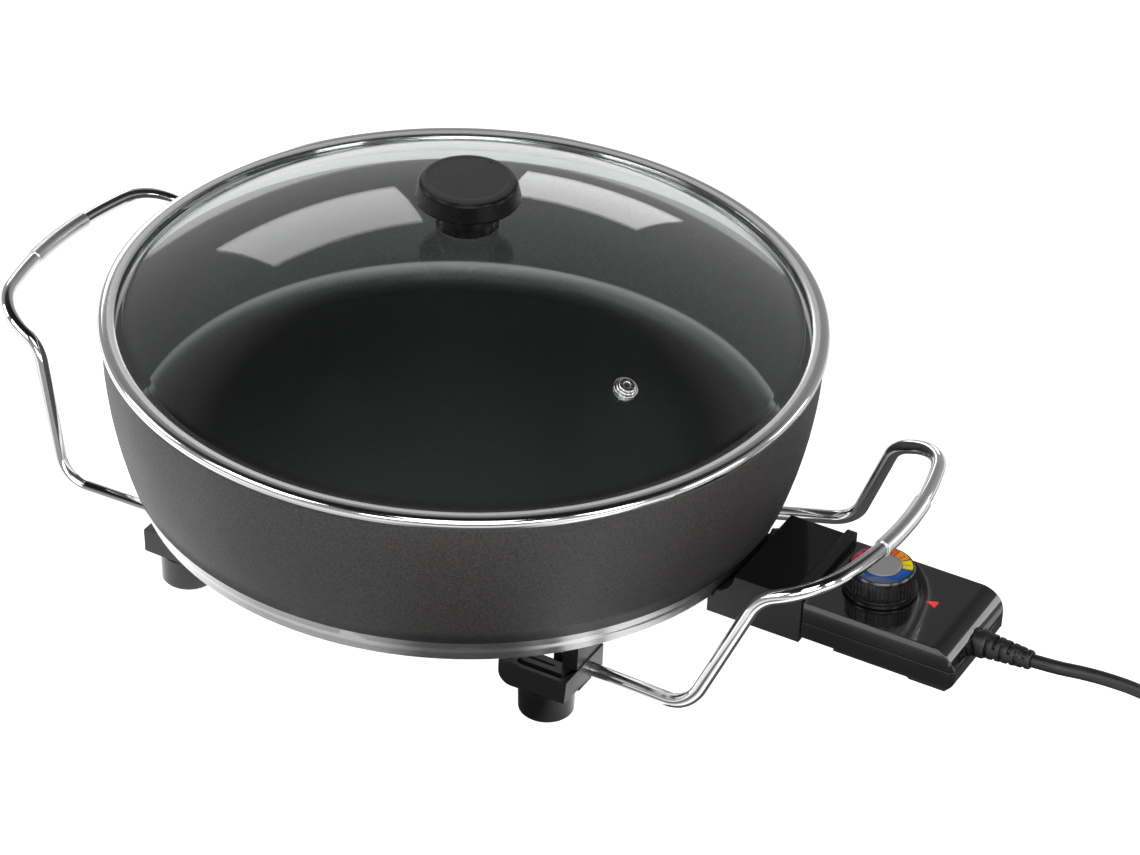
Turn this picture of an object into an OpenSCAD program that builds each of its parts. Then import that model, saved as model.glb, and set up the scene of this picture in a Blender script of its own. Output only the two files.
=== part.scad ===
// Round electric skillet with a lift-off glass lid and a plug-in heat control.
// Millimetres. The origin is on the pan's axis, on the surface that the feet stand on.
// +X points to the heat control and +Z points up.

/* [Pan] */
// Outer radius of the pan at its rim
pan_r = 198; // [190:0.5:205]
// Height of the pan from its underside to its rim
pan_h = 96.5; // [85:0.5:110]
// Height of the pan's underside above the table
stand_h = 56; // [54:0.5:66]
// Radius of the long curve of the pan's side
side_curve_r = 262; // [240:1:400]
// Thickness of the pan's side
pan_wall = 4; // [3:0.1:5]
// Thickness of the pan's floor
pan_floor = 8; // [7.5:0.1:10]
// Radius of the fillet between floor and side, inside
floor_fillet_r = 17; // [10:0.5:24]
// Height of the bare machined band round the base
band_h = 14; // [10:0.5:16]
// How far the band widens towards its top
band_flare = 4.6; // [2:0.2:5]

/* [Lid] */
// How far the lid's steel rim stands out over the pan's rim
lid_over = 2; // [1:0.5:6]
// Radial width of the steel rim
lid_rim_w = 9.8; // [9:0.1:11]
// Height of the steel rim
lid_rim_h = 6.4; // [6.2:0.1:9]
// Depth of the skirt that locates the lid inside the pan
skirt_h = 9; // [5:0.5:14]
// Sheet thickness of the skirt
skirt_t = 1.1; // [0.8:0.1:1.4]
// Thickness of the glass
glass_t = 3.5; // [3:0.1:4]
// Rise of the glass dome above the rim's flat edge
dome_h = 56; // [40:1:60]
// Radius of the knob's cap
knob_r = 29; // [24:0.5:34]
// Height of the knob's cap
knob_cap_h = 13; // [11:0.5:16]
// Radius of the knob's stem
knob_stem_r = 17.5; // [15:0.5:20]
// Height of the knob's stem
knob_stem_h = 16; // [14:0.5:22]
// Distance of the steam vent from the lid's middle
vent_dist = 139; // [110:1:150]
// Direction of the steam vent, from +X
vent_angle = -23; // [-90:1:90]
// Radius of the steam vent's hole
vent_hole_r = 1.8; // [1.2:0.1:2]

/* [Feet] */
// How far the middle of each foot lies inside the base's edge
foot_in = 25.8; // [24:0.2:27]
// Direction of each foot from the X axis
foot_angle = 41.9; // [40:0.1:44]
// Radius of a foot pad
foot_r = 15.8; // [13:0.2:17]
// Height of a foot pad
foot_h = 18.5; // [17.5:0.5:19.5]
// Length of a foot block, along X
block_l = 41.5; // [40:0.5:44]
// Width of a foot block, along Y
block_w = 42; // [41:0.5:44]
// Depth of a foot block's front box
box_w = 15.7; // [14:0.1:17]
// Height of a foot block's front box
lip_h = 14.8; // [13:0.2:17]
// Thickness of the upright arm that carries the pan
arm_t = 9.2; // [9:0.1:11]

/* [Handles] */
// Diameter of the handle rod
rod_d = 8; // [7:0.1:8.4]
// Height of the grip above the table
grip_z = 116; // [108:1:122]
// Reach of the grip's corners beyond the pan's rim
grip_out = 59; // [54:1:68]
// How far the grip bows out in the middle
grip_bow = 20; // [12:1:26]
// Half the distance between the grip's corners
grip_half = 78; // [70:1:84]
// Bend radius of the grip's corners
corner_r = 33; // [24:1:34]
// Radius of the rod's other bends
bend_r = 22; // [16:0.5:24]
// Length of the grip's sleeve
sleeve_l = 50; // [36:1:56]
// Thickness of the sleeve's wall
sleeve_t = 0.9; // [0.6:0.1:1.4]

/* [Element] */
// Radius of the heating element's ring
element_r = 104; // [98:0.5:105]
// Diameter of the element's tube
element_d = 7; // [6:0.2:8]
// Distance of each terminal pin from the middle
pin_y = 16; // [14:0.5:18]
// Diameter of a terminal pin
pin_d = 4.8; // [4:0.1:5]
// Height of the pins and the sensor above the table
pin_z = 50.5; // [49.5:0.1:51]

/* [Socket shroud] */
// Half the width of the shroud
shroud_half = 34; // [33:0.5:36]
// Reach of the shroud's outer end beyond the pan's rim
shroud_out = 31; // [28:0.5:33]
// Height of the shroud's flat top above the table
shroud_top_z = 72.7; // [70:0.1:76]
// Height of the shroud's underside above the table
shroud_low_z = 44.5; // [43:0.1:45]
// Wall thickness of the shroud
shroud_wall = 2.8; // [2.2:0.1:3.2]
// Radius of the scoop in the shroud's top beside the pan
scoop_r = 13.8; // [10:0.2:15]
// Height of the ridge across the shroud's outer end
ridge_h = 4.4; // [3:0.2:6]

/* [Heat control] */
// Length of the housing
probe_l = 89.5; // [84:0.5:96]
// Half the width of the housing
probe_half = 33; // [31:0.5:34]
// Height of the housing's top above the table
probe_top_z = 71; // [70:0.1:74]
// Height of the housing's underside above the table
probe_low_z = 46.2; // [45:0.1:46.6]
// Height of the parting line above the table
parting_z = 58; // [56:0.5:60]
// Wall thickness of the housing
case_t = 2.4; // [2:0.1:2.8]
// Radius of the housing's upper outer corner
case_top_r = 15; // [10:0.5:15]
// Radius of the housing's lower outer corner
case_low_r = 6; // [3:0.5:7]
// Diameter of the temperature sensor
sensor_d = 5; // [4:0.1:5.4]
// Length of the sensor, from the contact block
sensor_l = 88; // [70:1:92]
// How far the dial's centre lies from the housing's inner end
dial_offset = 29.5; // [27:0.5:34]
// Radius of the dial at its top
dial_r = 18; // [16:0.5:20]
// Height of the dial
dial_h = 15.2; // [12:0.2:18]
// Number of grip ribs round the dial
dial_ribs = 40; // [24:1:44]
// Radius of the strain relief where it leaves the housing
relief_r = 8; // [7:0.2:9]
// Length of the strain relief outside the housing
relief_l = 30; // [26:1:40]
// Number of ribs on the strain relief
relief_ribs = 6; // [4:1:8]

/* [Cord] */
// Diameter of the mains cord
cord_d = 7.4; // [6:0.1:8]

/* [Hidden] */
$fn = 96;

seat_gap = 0.3;       // clearance between parts that lift or slide apart
fit_gap = 0.15;       // clearance round a screw, rod or tube in its hole
run_gap = 0.08;       // running clearance of the dial's shaft
e = 0.01;             // overshoot of a cut
thru = 200;           // length of a cut that goes right through
lap = 0.1;            // how far neighbouring parts of a bent bar run into each other
taper = 0.02;         // how much thinner the inner one of the two is

rim_z = stand_h + pan_h;
band_top_z = stand_h + band_h;
floor_z = stand_h + pan_floor;
side_cx = pan_r - side_curve_r;   // centre of the side's curve, on the rim's level
// the band is a little smaller than the coated side above it
band_r = side_cx + sqrt(pow(side_curve_r, 2) - pow(pan_h - band_h, 2)) - 0.6 - band_flare;
boss_half = 7;                    // half width of the boss that takes the sensor sleeve
boss_x1 = band_r - 31.5;
boss_x0 = boss_x1 - 86;
boss_z = pin_z - 6;
sleeve_r = sensor_d / 2 + 1.4;    // outside of the sleeve
sleeve_x1 = boss_x1 + 23;
rib_half = element_d / 2 + 3;     // half width of the rib that holds the element

lid_z = rim_z + seat_gap;         // underside of the lid's rim
lid_r = pan_r + lid_over;
rim_in_r = lid_r - lid_rim_w;
glass_z = lid_z + 1.2;            // underside of the glass at its flat edge
glass_r = rim_in_r + 2;
glass_top_z = glass_z + glass_t;
dome_r = rim_in_r - 4;            // where the dome springs from the flat edge
dome_ball_r = (dome_r * dome_r + dome_h * dome_h) / (2 * dome_h);
apex_z = glass_top_z + dome_h;
ball_z = apex_z - dome_ball_r;
washer_t = 1.2;
knob_z = apex_z + washer_t;       // underside of the knob's stem
cap_z = knob_z + knob_stem_h;
knob_top_z = cap_z + knob_cap_h;
screw_r = 2.5;
bush_r = 4;
vent_tilt = asin(vent_dist / dome_ball_r);
eyelet_r = vent_hole_r + 2.2;

foot_x = (band_r - foot_in) * cos(foot_angle);
foot_y = (band_r - foot_in) * sin(foot_angle);
foot_screw_r = 2.5;
foot_screw_top_z = stand_h + 5;
block_z = foot_h;                 // the block stands on the pad
block_x1 = foot_x + 19.6;         // outer end wall
block_x0 = block_x1 - block_l;
block_y1 = foot_y + foot_r - 0.2; // lip's face
block_y0 = block_y1 - block_w;
box_y0 = block_y1 - box_w;        // back of the front box
shelf_y0 = foot_y - foot_r + 0.6; // back of the shelf over the pad
lip_z = block_z + lip_h;
arm_x1 = block_x1 - 0.8;
arm_x0 = arm_x1 - arm_t;
arm_y1 = block_y1 - 13.7;
arm_screw_x = (arm_x0 + arm_x1) / 2;
rod_r = rod_d / 2;
rod_y = block_y0 + 12.4;
rod_z = block_z + 5.5;
arm_screw_y = rod_y + rod_r + foot_screw_r + 3.2;
boss_wall = 3.2;                  // wall of the boss round the rod
rod_boss_x0 = arm_x0 - 10;
rod_seat_z = rod_z + rod_r + 5.5;
clamp_x = rod_boss_x0 + 5.5;      // grub screw that clamps the rod
clamp_r = 2.5;

element_bend_r = 9;
element_end_x = band_r - 27.5;    // the cold ends stop in their beads here
bead_l = 8;
bead_r = 4.2;
shroud_x = pan_r + shroud_out;
nose_x0 = shroud_x - 32;          // front of the contact block
pin_x1 = nose_x0 + 25;            // the pins reach this far into the socket

shroud_x0 = band_r - 29.5;
wall_x0 = band_r - 6;             // the side walls start here, under the base's edge
shroud_screw_x = shroud_x0 + 8;
shroud_screw_y = shroud_half - 8;
shroud_screw_r = 1.5;
foot_half = shroud_screw_y + 5.5; // half width of the shroud's foot, which is screwed to the pan
foot_x1 = shroud_screw_x + 6.5;
neck_half = pin_y + bead_r + 3;   // half width of the neck between foot and walls
pin_way_x = band_r - 7.5;         // here the trough becomes a low way for the pins
ridge_w = 7.5;
ridge_y0 = -24;                   // the ridge runs out here
pan_clear = 0.6;                  // gap between the shroud's saddle and the pan

probe_x0 = shroud_x + 0.5;
probe_x1 = probe_x0 + probe_l;
dial_x = probe_x0 + dial_offset;
dial_z = probe_top_z + 0.4;
nose_half = shroud_half - shroud_wall - 1.2;
nose_z0 = pin_z - 4.2;
nose_z1 = probe_top_z - case_t - 2.3;
step_x = probe_x0 + 19.5;         // the housing is shallower up to here
step_z = probe_low_z + 1.5;
tail_half = probe_half - case_t - 2.6;
tail_x1 = probe_x0 + 11.5;        // the contact block's tail ends here, inside the housing
tail_z0 = step_z + case_t + seat_gap;
tail_z1 = nose_z1 - 0.5;
sensor_tip_x = nose_x0 - sensor_l;
sensor_end_x = probe_x0 - 1;
socket_r = pin_d / 2 + 0.7;       // outside of a contact socket
socket_x1 = probe_x0 - 1;
case_screw_x = [step_x + 6, probe_x1 - 12];
case_screw_y = probe_half - 7;
case_screw_r = 1.4;
shaft_r = 3;
lens_x = dial_x + 26.2;           // tip of the pointer that is also the lamp's lens
lens_y = 2.5;
lens_l = 6.2;
lens_w = 5.6;
frame_x0 = step_x + 3;
frame_x1 = dial_x + 36;
frame_z = probe_low_z + case_t;
blade_z = frame_z + 4;            // bimetal blade
blade_t = 0.8;
spring_z = frame_z + 9.2;         // sprung switch blade under the dial's cam
spring_t = 0.6;
lamp_z = spring_z + 2.4;
scale_r = dial_r - 1.2;           // ring with the scale
cap_r = dial_r - 7.6;
cord_z = 58.5;                    // height of the cord's way out
relief_x0 = probe_x1 + 0.3;
relief_neck_r = 7;
relief_seat_x = probe_x1 - 10.7;  // inner face of the solid end that holds the relief
clamp_x0 = probe_x1 - 21;
relief_x1 = relief_x0 + relief_l;
cord_r = cord_d / 2;

// Route of the cord from the strain relief to its coil, chosen by hand
cord_route = [
    [relief_x1, 0, cord_z], [364, 2, 58.2], [377, 7, 56.4], [390, 13, 52.8], [403, 20, 47],
    [415, 26, 40], [427, 33, 31.5], [439, 41, 22.5], [451, 49, 14.5], [463, 57.5, 8.5]
];
coil_c = [464, 111];              // middle of the coil
coil_r = 42;                      // mean radius of its turns
coil_w = 2 * cord_d + 0.4;        // its turns lie two wide and two high
// Route of the short end from the coil to the plug
plug_route = [[517, 104, 12.5], [519, 113, 14], [521, 124, 16], [523, 136, 17.6], [525, 148, 18]];
tie_t = 0.8;                      // thickness of the strap round the coil
tie_angle = 142;
plug_r = 18;
plug_l = 42;
plug_pin_r = 2.4;
plug_pin_l = 19;
plug_pin_foot = 0.2;              // the pin's thinner foot stands this far out of the plug
plug_pin_gap = 9.5;               // distance of each pin from the plug's axis

// ---------------------------------------------------------------- helpers

function unit(v) = v / norm(v);

// Turns the Z axis of its child to direction v
module aim(v) rotate([0, acos(v[2] / norm(v)), atan2(v[1], v[0])]) children();

// Straight round bar between two points
module bar(a, b, r) translate(a) aim(b - a) cylinder(h = norm(b - a), r = r);

// Cylinder along +X from x0 to x1
module bar_x(x0, x1, y, z, r) translate([x0, y, z]) rotate([0, 90, 0]) cylinder(h = x1 - x0, r = r);

function turn_at(p, q, s) = 180 - acos(unit(p - q) * unit(s - q));
function setback(p, q, s, radius) = radius * tan(turn_at(p, q, s) / 2);

// Round bend at corner q of the path p, q, s
module bend(p, q, s, radius, r) {
    a = unit(p - q);
    b = unit(s - q);
    turn = turn_at(p, q, s);
    c = q + unit(a + b) * radius / cos(turn / 2);
    u = unit(q + a * radius * tan(turn / 2) - c);
    n = cross(u, -a);
    multmatrix([[u[0], -a[0], n[0], c[0]], [u[1], -a[1], n[1], c[1]], [u[2], -a[2], n[2], c[2]], [0, 0, 0, 1]])
        rotate_extrude(angle = turn) translate([radius, 0]) circle(r = r);
}

// Bar bent at each inner corner of the path by the matching radius. Its straight parts are
// a hair thinner than its bends and run a hair into them.
module bent_rod(path, radii, r) {
    last = len(path) - 1;
    back = [for (i = [0:last]) i == 0 || i == last ? 0
        : setback(path[i - 1], path[i], path[i + 1], radii[i])];
    for (i = [0:last - 1]) {
        way = unit(path[i + 1] - path[i]);
        bar(path[i] + way * (back[i] - lap), path[i + 1] - way * (back[i + 1] - lap), r - taper);
    }
    for (i = [1:last - 1]) bend(path[i - 1], path[i], path[i + 1], radii[i], r);
}

// Block with rounded upright edges
module rounded_block(size, r) {
    linear_extrude(size[2]) rounded_rect(size[0], size[1], r);
}

// Copies a child from the +X +Y corner to all four feet
module at_feet() for (sx = [0, 1], sy = [0, 1]) mirror([sx, 0, 0]) mirror([0, sy, 0]) children();

// Places a child at one corner: right 1 or -1 for +X or -X, back 1 or -1 for +Y or -Y
module at_corner(right, back)
    mirror([right < 0 ? 1 : 0, 0, 0]) mirror([0, back < 0 ? 1 : 0, 0]) children();

// Rounded rectangle with its lower left corner at the origin
module rounded_rect(w, h, r) {
    translate([r, 0]) square([w - 2 * r, h]);
    translate([0, r]) square([w, h - 2 * r]);
    for (x = [r, w - r], y = [r, h - r]) translate([x, y]) circle(r = r, $fn = 32);
}

// Extrudes an outline drawn in X and Z along Y, from y0 to y1
module along_y(y0, y1) translate([0, y1, 0]) rotate([90, 0, 0]) linear_extrude(y1 - y0) children();

// Tube swept along a route that is never upright
module swept_tube(route, r, sides) {
    last = len(route) - 1;
    way = [for (i = [0:last]) unit(route[min(i + 1, last)] - route[max(i - 1, 0)])];
    rings = [for (i = [0:last])
        let (side = unit(cross([0, 0, 1], way[i])), up = cross(way[i], side))
        [for (k = [0:sides - 1]) route[i] + r * (cos(360 * k / sides) * side + sin(360 * k / sides) * up)]];
    walls = [for (i = [0:last - 1], k = [0:sides - 1])
        let (a = i * sides + k, b = i * sides + (k + 1) % sides) [a, b, b + sides, a + sides]];
    polyhedron(
        points = [for (ring = rings) each ring],
        faces = concat(walls, [[for (k = [sides - 1:-1:0]) k], [for (k = [0:sides - 1]) last * sides + k]])
    );
}

// ---------------------------------------------------------------- pan

// Half section of the pan's outside, grown by g
module pan_outline(g = 0) {
    polygon([[0, stand_h - g], [band_r + g, stand_h - g], [band_r + band_flare + g, band_top_z + g],
        [0, band_top_z + g]]);
    intersection() {
        translate([side_cx, rim_z]) circle(r = side_curve_r + g, $fn = 360);
        translate([0, band_top_z - g]) square([pan_r + 20, rim_z - band_top_z + g]);
    }
}

// Half section of the pan's inside, with the fillet between floor and side
module pan_hollow() {
    r_in = side_curve_r - pan_wall;
    fillet_z = floor_z + floor_fillet_r;
    reach = r_in - floor_fillet_r;
    fillet_x = side_cx + sqrt(reach * reach - pow(rim_z - fillet_z, 2));
    meet_z = rim_z - r_in * (rim_z - fillet_z) / reach;
    intersection() {
        translate([side_cx, rim_z]) circle(r = r_in, $fn = 360);
        union() {
            translate([0, floor_z]) square([fillet_x, pan_h]);
            translate([0, meet_z]) square([pan_r, pan_h]);
            translate([fillet_x, fillet_z]) circle(r = floor_fillet_r);
        }
    }
}

// Centre line of the element: a ring with both ends turned out towards +X
module element_form(r, x1) {
    reach = element_r + element_bend_r;
    bend_y = pin_y + element_bend_r;
    bend_x = sqrt(reach * reach - bend_y * bend_y);
    start = atan2(bend_y, bend_x);
    over = lap / element_bend_r * 180 / PI;
    translate([0, 0, pin_z]) {
        rotate([0, 0, start]) rotate_extrude(angle = 360 - 2 * start) translate([element_r, 0]) circle(r = r);
        for (m = [0, 1]) mirror([0, m, 0]) {
            translate([bend_x, bend_y, 0]) rotate([0, 0, 180 + start - over])
                rotate_extrude(angle = 90 - start + over) translate([element_bend_r, 0]) circle(r = r - taper);
            bar_x(bend_x - lap, x1, pin_y, 0, r - 2 * taper);
        }
    }
}

module pan() color("#2b2b2c") difference() {
    union() {
        rotate_extrude() difference() {
            pan_outline();
            difference() {
                pan_hollow();
                translate([pan_r - pan_wall - 3, rim_z - pan_wall / 2]) square([pan_wall + 3, pan_wall]);
            }
            translate([pan_r - pan_wall - 3, rim_z - pan_wall / 2]) difference() {
                square([pan_wall + 6, pan_wall]);
                translate([3 + pan_wall / 2, 0]) circle(r = pan_wall / 2, $fn = 48);
            }
        }
        // rib under the base that carries the element
        translate([0, 0, pin_z]) difference() {
            cylinder(h = stand_h - pin_z + 1, r = element_r + rib_half);
            translate([0, 0, -e]) cylinder(h = stand_h, r = element_r - rib_half);
            translate([0, -boss_half - 3, -e]) cube([pan_r, 2 * boss_half + 6, stand_h]);
        }
        // boss for the sensor's sleeve
        translate([boss_x0, -boss_half, boss_z]) cube([boss_x1 - boss_x0, 2 * boss_half, stand_h - boss_z + 1]);
    }
    element_form(element_d / 2, element_r + rib_half + 20);
    bar_x(boss_x0 + 6, boss_x1 + 1, 0, pin_z, sleeve_r);
    at_feet() translate([arm_screw_x, arm_screw_y, stand_h - 1])
        cylinder(h = foot_screw_top_z - stand_h + 1.5, r = foot_screw_r);
    for (s = [1, -1]) translate([shroud_screw_x, s * shroud_screw_y, stand_h - 1]) cylinder(h = 6.5, r = shroud_screw_r);
}

module heating_element() color("#8c8a84") {
    element_form(element_d / 2, element_end_x);
    for (s = [1, -1]) {
        bar_x(element_end_x - 1, pin_x1 - 2, s * pin_y, pin_z, pin_d / 2);
        translate([pin_x1 - 2, s * pin_y, pin_z]) sphere(r = pin_d / 2);
    }
}

module terminal_beads() color("#e8e2d4") for (s = [1, -1]) difference() {
    bar_x(element_end_x, element_end_x + bead_l, s * pin_y, pin_z, bead_r);
    bar_x(element_end_x - 1, element_end_x + bead_l + 1, s * pin_y, pin_z, pin_d / 2);
}

module sensor_sleeve() color("#b9bbbd") difference() {
    bar_x(boss_x0 + 6, sleeve_x1, 0, pin_z, sleeve_r);
    bar_x(boss_x0 + 8, sleeve_x1 + 1, 0, pin_z, sensor_d / 2 + 0.3);
    // flared mouth
    translate([sleeve_x1 - 1.4, 0, pin_z]) rotate([0, 90, 0]) cylinder(h = 1.5, r1 = sensor_d / 2 + 0.3, r2 = sleeve_r - 0.3);
}

// ---------------------------------------------------------------- socket shroud

module shroud_screw_hole(r, head_r, head_h)
    for (s = [1, -1]) translate([shroud_screw_x, s * shroud_screw_y, shroud_low_z]) {
        translate([0, 0, -e]) cylinder(h = 20, r = r);
        translate([0, 0, -e]) cylinder(h = head_h, r = head_r);
    }

module socket_shroud() color("#141415") difference() {
    union() {
        difference() {
            union() {
                // housing of the socket, scooped out beside the pan
                along_y(-shroud_half, shroud_half) difference() {
                    translate([wall_x0, shroud_low_z]) square([shroud_x - wall_x0, shroud_top_z - shroud_low_z]);
                    translate([wall_x0 + 1.5, shroud_top_z + 0.5]) circle(r = scoop_r);
                }
                // neck and foot under the pan's base
                translate([foot_x1 - 1, -neck_half, shroud_low_z])
                    cube([wall_x0 - foot_x1 + 2, 2 * neck_half, stand_h - shroud_low_z]);
                translate([shroud_x0, -foot_half, shroud_low_z])
                    cube([foot_x1 - shroud_x0, 2 * foot_half, stand_h - shroud_low_z]);
                // ridge that runs out towards the near side
                intersection() {
                    along_y(ridge_y0, shroud_half) polygon([[shroud_x - ridge_w, shroud_top_z - e],
                        [shroud_x - ridge_w + 2, shroud_top_z + ridge_h], [shroud_x, shroud_top_z + ridge_h],
                        [shroud_x, shroud_top_z - e]]);
                    translate([shroud_x - ridge_w - 1, 0, shroud_top_z]) rotate([90, 0, 90]) linear_extrude(ridge_w + 2)
                        polygon([[ridge_y0, -1], [ridge_y0 + 1.5, 0.9], [shroud_half - 3, ridge_h],
                            [shroud_half, ridge_h - 1.2], [shroud_half, -1]]);
                }
            }
            rotate_extrude() pan_outline(pan_clear);
            // trough under the base, pin way, and the socket itself
            translate([shroud_x0 - 1, shroud_wall - foot_half, nose_z0 - seat_gap])
                cube([foot_x1 - shroud_x0 + 1 - shroud_wall, 2 * (foot_half - shroud_wall), 14]);
            translate([foot_x1 - shroud_wall - 1, 2.4 - neck_half, nose_z0 - seat_gap])
                cube([pin_way_x - foot_x1 + shroud_wall + 1, 2 * (neck_half - 2.4), 14]);
            translate([pin_way_x - 1, 2.4 - neck_half, nose_z0 - seat_gap])
                cube([nose_x0 - seat_gap - pin_way_x + 1, 2 * (neck_half - 2.4), pin_z + 3.1 - nose_z0 + seat_gap]);
            translate([nose_x0 - 1.5, -nose_half - seat_gap, nose_z0 - seat_gap])
                cube([shroud_x - nose_x0 + 2, 2 * (nose_half + seat_gap), nose_z1 - nose_z0 + 2 * seat_gap]);
        }
        // pillars for the screws
        for (s = [1, -1]) translate([shroud_screw_x, s * shroud_screw_y, shroud_low_z])
            cylinder(h = stand_h - shroud_low_z, r = 5.4);
    }
    shroud_screw_hole(shroud_screw_r + fit_gap, 4, 2.6);
}

module shroud_screws() color("#9b9c9e") for (s = [1, -1])
    translate([shroud_screw_x, s * shroud_screw_y, shroud_low_z]) {
        difference() {
            translate([0, 0, 0.5]) cylinder(h = 2.1 - e, r = 3.7);
            translate([-3, -0.5, 0]) cube([6, 1, 1.2]);
        }
        translate([0, 0, 2]) cylinder(h = stand_h - shroud_low_z + 3, r = shroud_screw_r - 0.08);
    }

// ---------------------------------------------------------------- feet

// Foot block at the +X +Y corner: a front box with a shelf over the pad, and an arm up to the pan
module foot_block() color("#161617") difference() {
    union() {
        // front box, with its inner lower corner well rounded
        along_y(box_y0, block_y1) {
            translate([block_x0, block_z + 8]) square([block_l, lip_h - 8]);
            translate([block_x0 + 8, block_z]) square([block_l - 10, 8 + e]);
            translate([block_x1 - 3, block_z + 2]) square([3, 6 + e]);
            translate([block_x0 + 8, block_z + 8]) circle(r = 8);
            translate([block_x1 - 2, block_z + 2]) circle(r = 2, $fn = 32);
        }
        translate([block_x0 + 8, shelf_y0, block_z]) cube([arm_x0 - block_x0 - 7, box_y0 - shelf_y0 + 1, 2.6]);
        translate([foot_x, foot_y, block_z]) cylinder(h = 9.5, r = 4.6);
        // boss round the handle's rod
        translate([rod_boss_x0, rod_y - rod_r - boss_wall, block_z])
            cube([arm_x0 - rod_boss_x0 + 1, 2 * (rod_r + boss_wall), rod_seat_z - block_z]);
        // outer side, and the arm that stands on it
        translate([arm_x0, block_y0, block_z]) cube([block_x1 - arm_x0, box_y0 - block_y0 + 1, lip_h]);
        translate([arm_x0, 0, block_z + 1]) rotate([90, 0, 90]) linear_extrude(arm_t)
            polygon([[block_y0, 0], [arm_y1, 0], [arm_y1, stand_h - block_z - 1],
                [block_y0 + 3, stand_h - block_z - 1], [block_y0, stand_h - block_z - 4]]);
    }
    // grooves across the top of the box
    translate([block_x0 - e, block_y1 - 6.2, lip_z - 3]) cube([block_l - 5, 3.4, 4]);
    translate([block_x0 - e, box_y0 + 4, lip_z - 1.6]) cube([arm_x0 - block_x0 - 3, 1.6, 4]);
    // the box is hollow from below
    difference() {
        translate([block_x0 + 10, box_y0 + 2.6, block_z - e]) cube([arm_x0 - block_x0 - 12.6, box_w - 5.2, lip_h - 5.6]);
        translate([foot_x, foot_y, block_z - 1]) cylinder(h = 11, r = 4.6);
    }
    translate([foot_x, foot_y, block_z - 1]) cylinder(h = 9.4, r = foot_screw_r + fit_gap);
    translate([arm_screw_x, arm_screw_y, block_z - 1]) cylinder(h = stand_h, r = foot_screw_r + fit_gap);
    translate([arm_screw_x, arm_screw_y, block_z - 1]) cylinder(h = 4.4, r = 4.4);
    bar_x(rod_boss_x0 + 2, block_x1 + 1, rod_y, rod_z, rod_r + 0.05);
    translate([clamp_x, rod_y, rod_z]) cylinder(h = 20, r = clamp_r);
}

module foot_pad() color("#1b1b1c") translate([foot_x, foot_y, 0]) difference() {
    union() {
        cylinder(h = 1, r1 = foot_r - 1.6, r2 = foot_r - 0.6);
        translate([0, 0, 1]) cylinder(h = foot_h - 1, r1 = foot_r - 0.6, r2 = foot_r);
    }
    translate([0, 0, -1]) cylinder(h = foot_h + 2, r = foot_screw_r + fit_gap);
    translate([0, 0, -1]) cylinder(h = 8, r = 6);
}

// Screw with its head's underside at z, its end at z1 and a crossed recess
module cross_screw(z, z1, head_r) {
    difference() {
        translate([0, 0, z - 3]) cylinder(h = 3, r = head_r);
        for (a = [0, 90]) rotate([0, 0, a]) translate([-3, -0.6, z - 4]) cube([6, 1.2, 2.6]);
    }
    translate([0, 0, z - 0.5]) cylinder(h = z1 - z + 0.5, r = foot_screw_r - 0.08);
}

// One screw holds each pad to its block, and one holds the block to the pan
module foot_screws() color("#9b9c9e") at_feet() {
    translate([foot_x, foot_y, 0]) cross_screw(7 - e, block_z + 8, 4.8);
    translate([arm_screw_x, arm_screw_y, 0]) cross_screw(block_z + 3.4 - e, foot_screw_top_z, 4.2);
}

module rod_clamp_screws() color("#9b9c9e") at_feet() translate([clamp_x, rod_y, rod_z + rod_r]) difference() {
    cylinder(h = rod_seat_z - rod_z - rod_r - 0.5, r = clamp_r - 0.08);
    translate([0, 0, rod_seat_z - rod_z - rod_r - 2.5]) cylinder(h = 3, r = 1.2, $fn = 6);
}

// ---------------------------------------------------------------- handles

// Corners of the handle's rod, from the block on the +Y side to the one on the -Y side
grip_x = pan_r + grip_out;
handle_half = [
    [rod_boss_x0 + 2.5, rod_y, rod_z],
    [block_x1 + 5, rod_y, rod_z],
    [pan_r, grip_half + 23, rod_z + 9],
    [grip_x - 31, grip_half + 5, grip_z - 13],
    [grip_x, grip_half, grip_z]
];
handle_path = concat(
    handle_half,
    [[grip_x + grip_bow, 0, grip_z]],
    [for (i = [len(handle_half) - 1:-1:0]) [handle_half[i][0], -handle_half[i][1], handle_half[i][2]]]
);
// the bow is as round as the room between its corners allows
bow_room = norm([grip_bow, grip_half]) - setback(handle_path[3], handle_path[4], handle_path[5], corner_r) - 1.5;
bow_r = bow_room * grip_half / grip_bow;
handle_bends = [0, bend_r, bend_r, bend_r, corner_r, bow_r, corner_r, bend_r, bend_r, bend_r, 0];

module handle_rod() color("#d6d8da") bent_rod(handle_path, handle_bends, rod_r);

// Sleeve that fits closely round the middle of the bow
module grip_sleeve() {
    bow_turn = turn_at(handle_path[4], handle_path[5], handle_path[6]);
    c_x = grip_x + grip_bow - bow_r / cos(bow_turn / 2);
    half = sleeve_l / bow_r * 90 / PI;
    color("#e6e7e8") translate([c_x, 0, grip_z]) rotate([0, 0, -half])
        rotate_extrude(angle = 2 * half) translate([bow_r, 0]) difference() {
            circle(r = rod_r + sleeve_t);
            circle(r = rod_r + 0.02);
        }
}

// ---------------------------------------------------------------- lid

module lid_rim() color("#c9cbcc") rotate_extrude() difference() {
    union() {
        translate([rim_in_r, lid_z]) {
            translate([0, 0]) square([lid_rim_w - 2.6, lid_rim_h]);
            translate([0, 2.6]) square([lid_rim_w, lid_rim_h - 5.2]);
            for (z = [2.6, lid_rim_h - 2.6]) translate([lid_rim_w - 2.6, z]) circle(r = 2.6, $fn = 48);
        }
        translate([rim_in_r, lid_z - skirt_h]) square([skirt_t, skirt_h + 0.5]);
    }
    translate([rim_in_r - 1, glass_z - fit_gap]) square([glass_r - rim_in_r + 1 + fit_gap, glass_t + 2 * fit_gap]);
}

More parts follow.
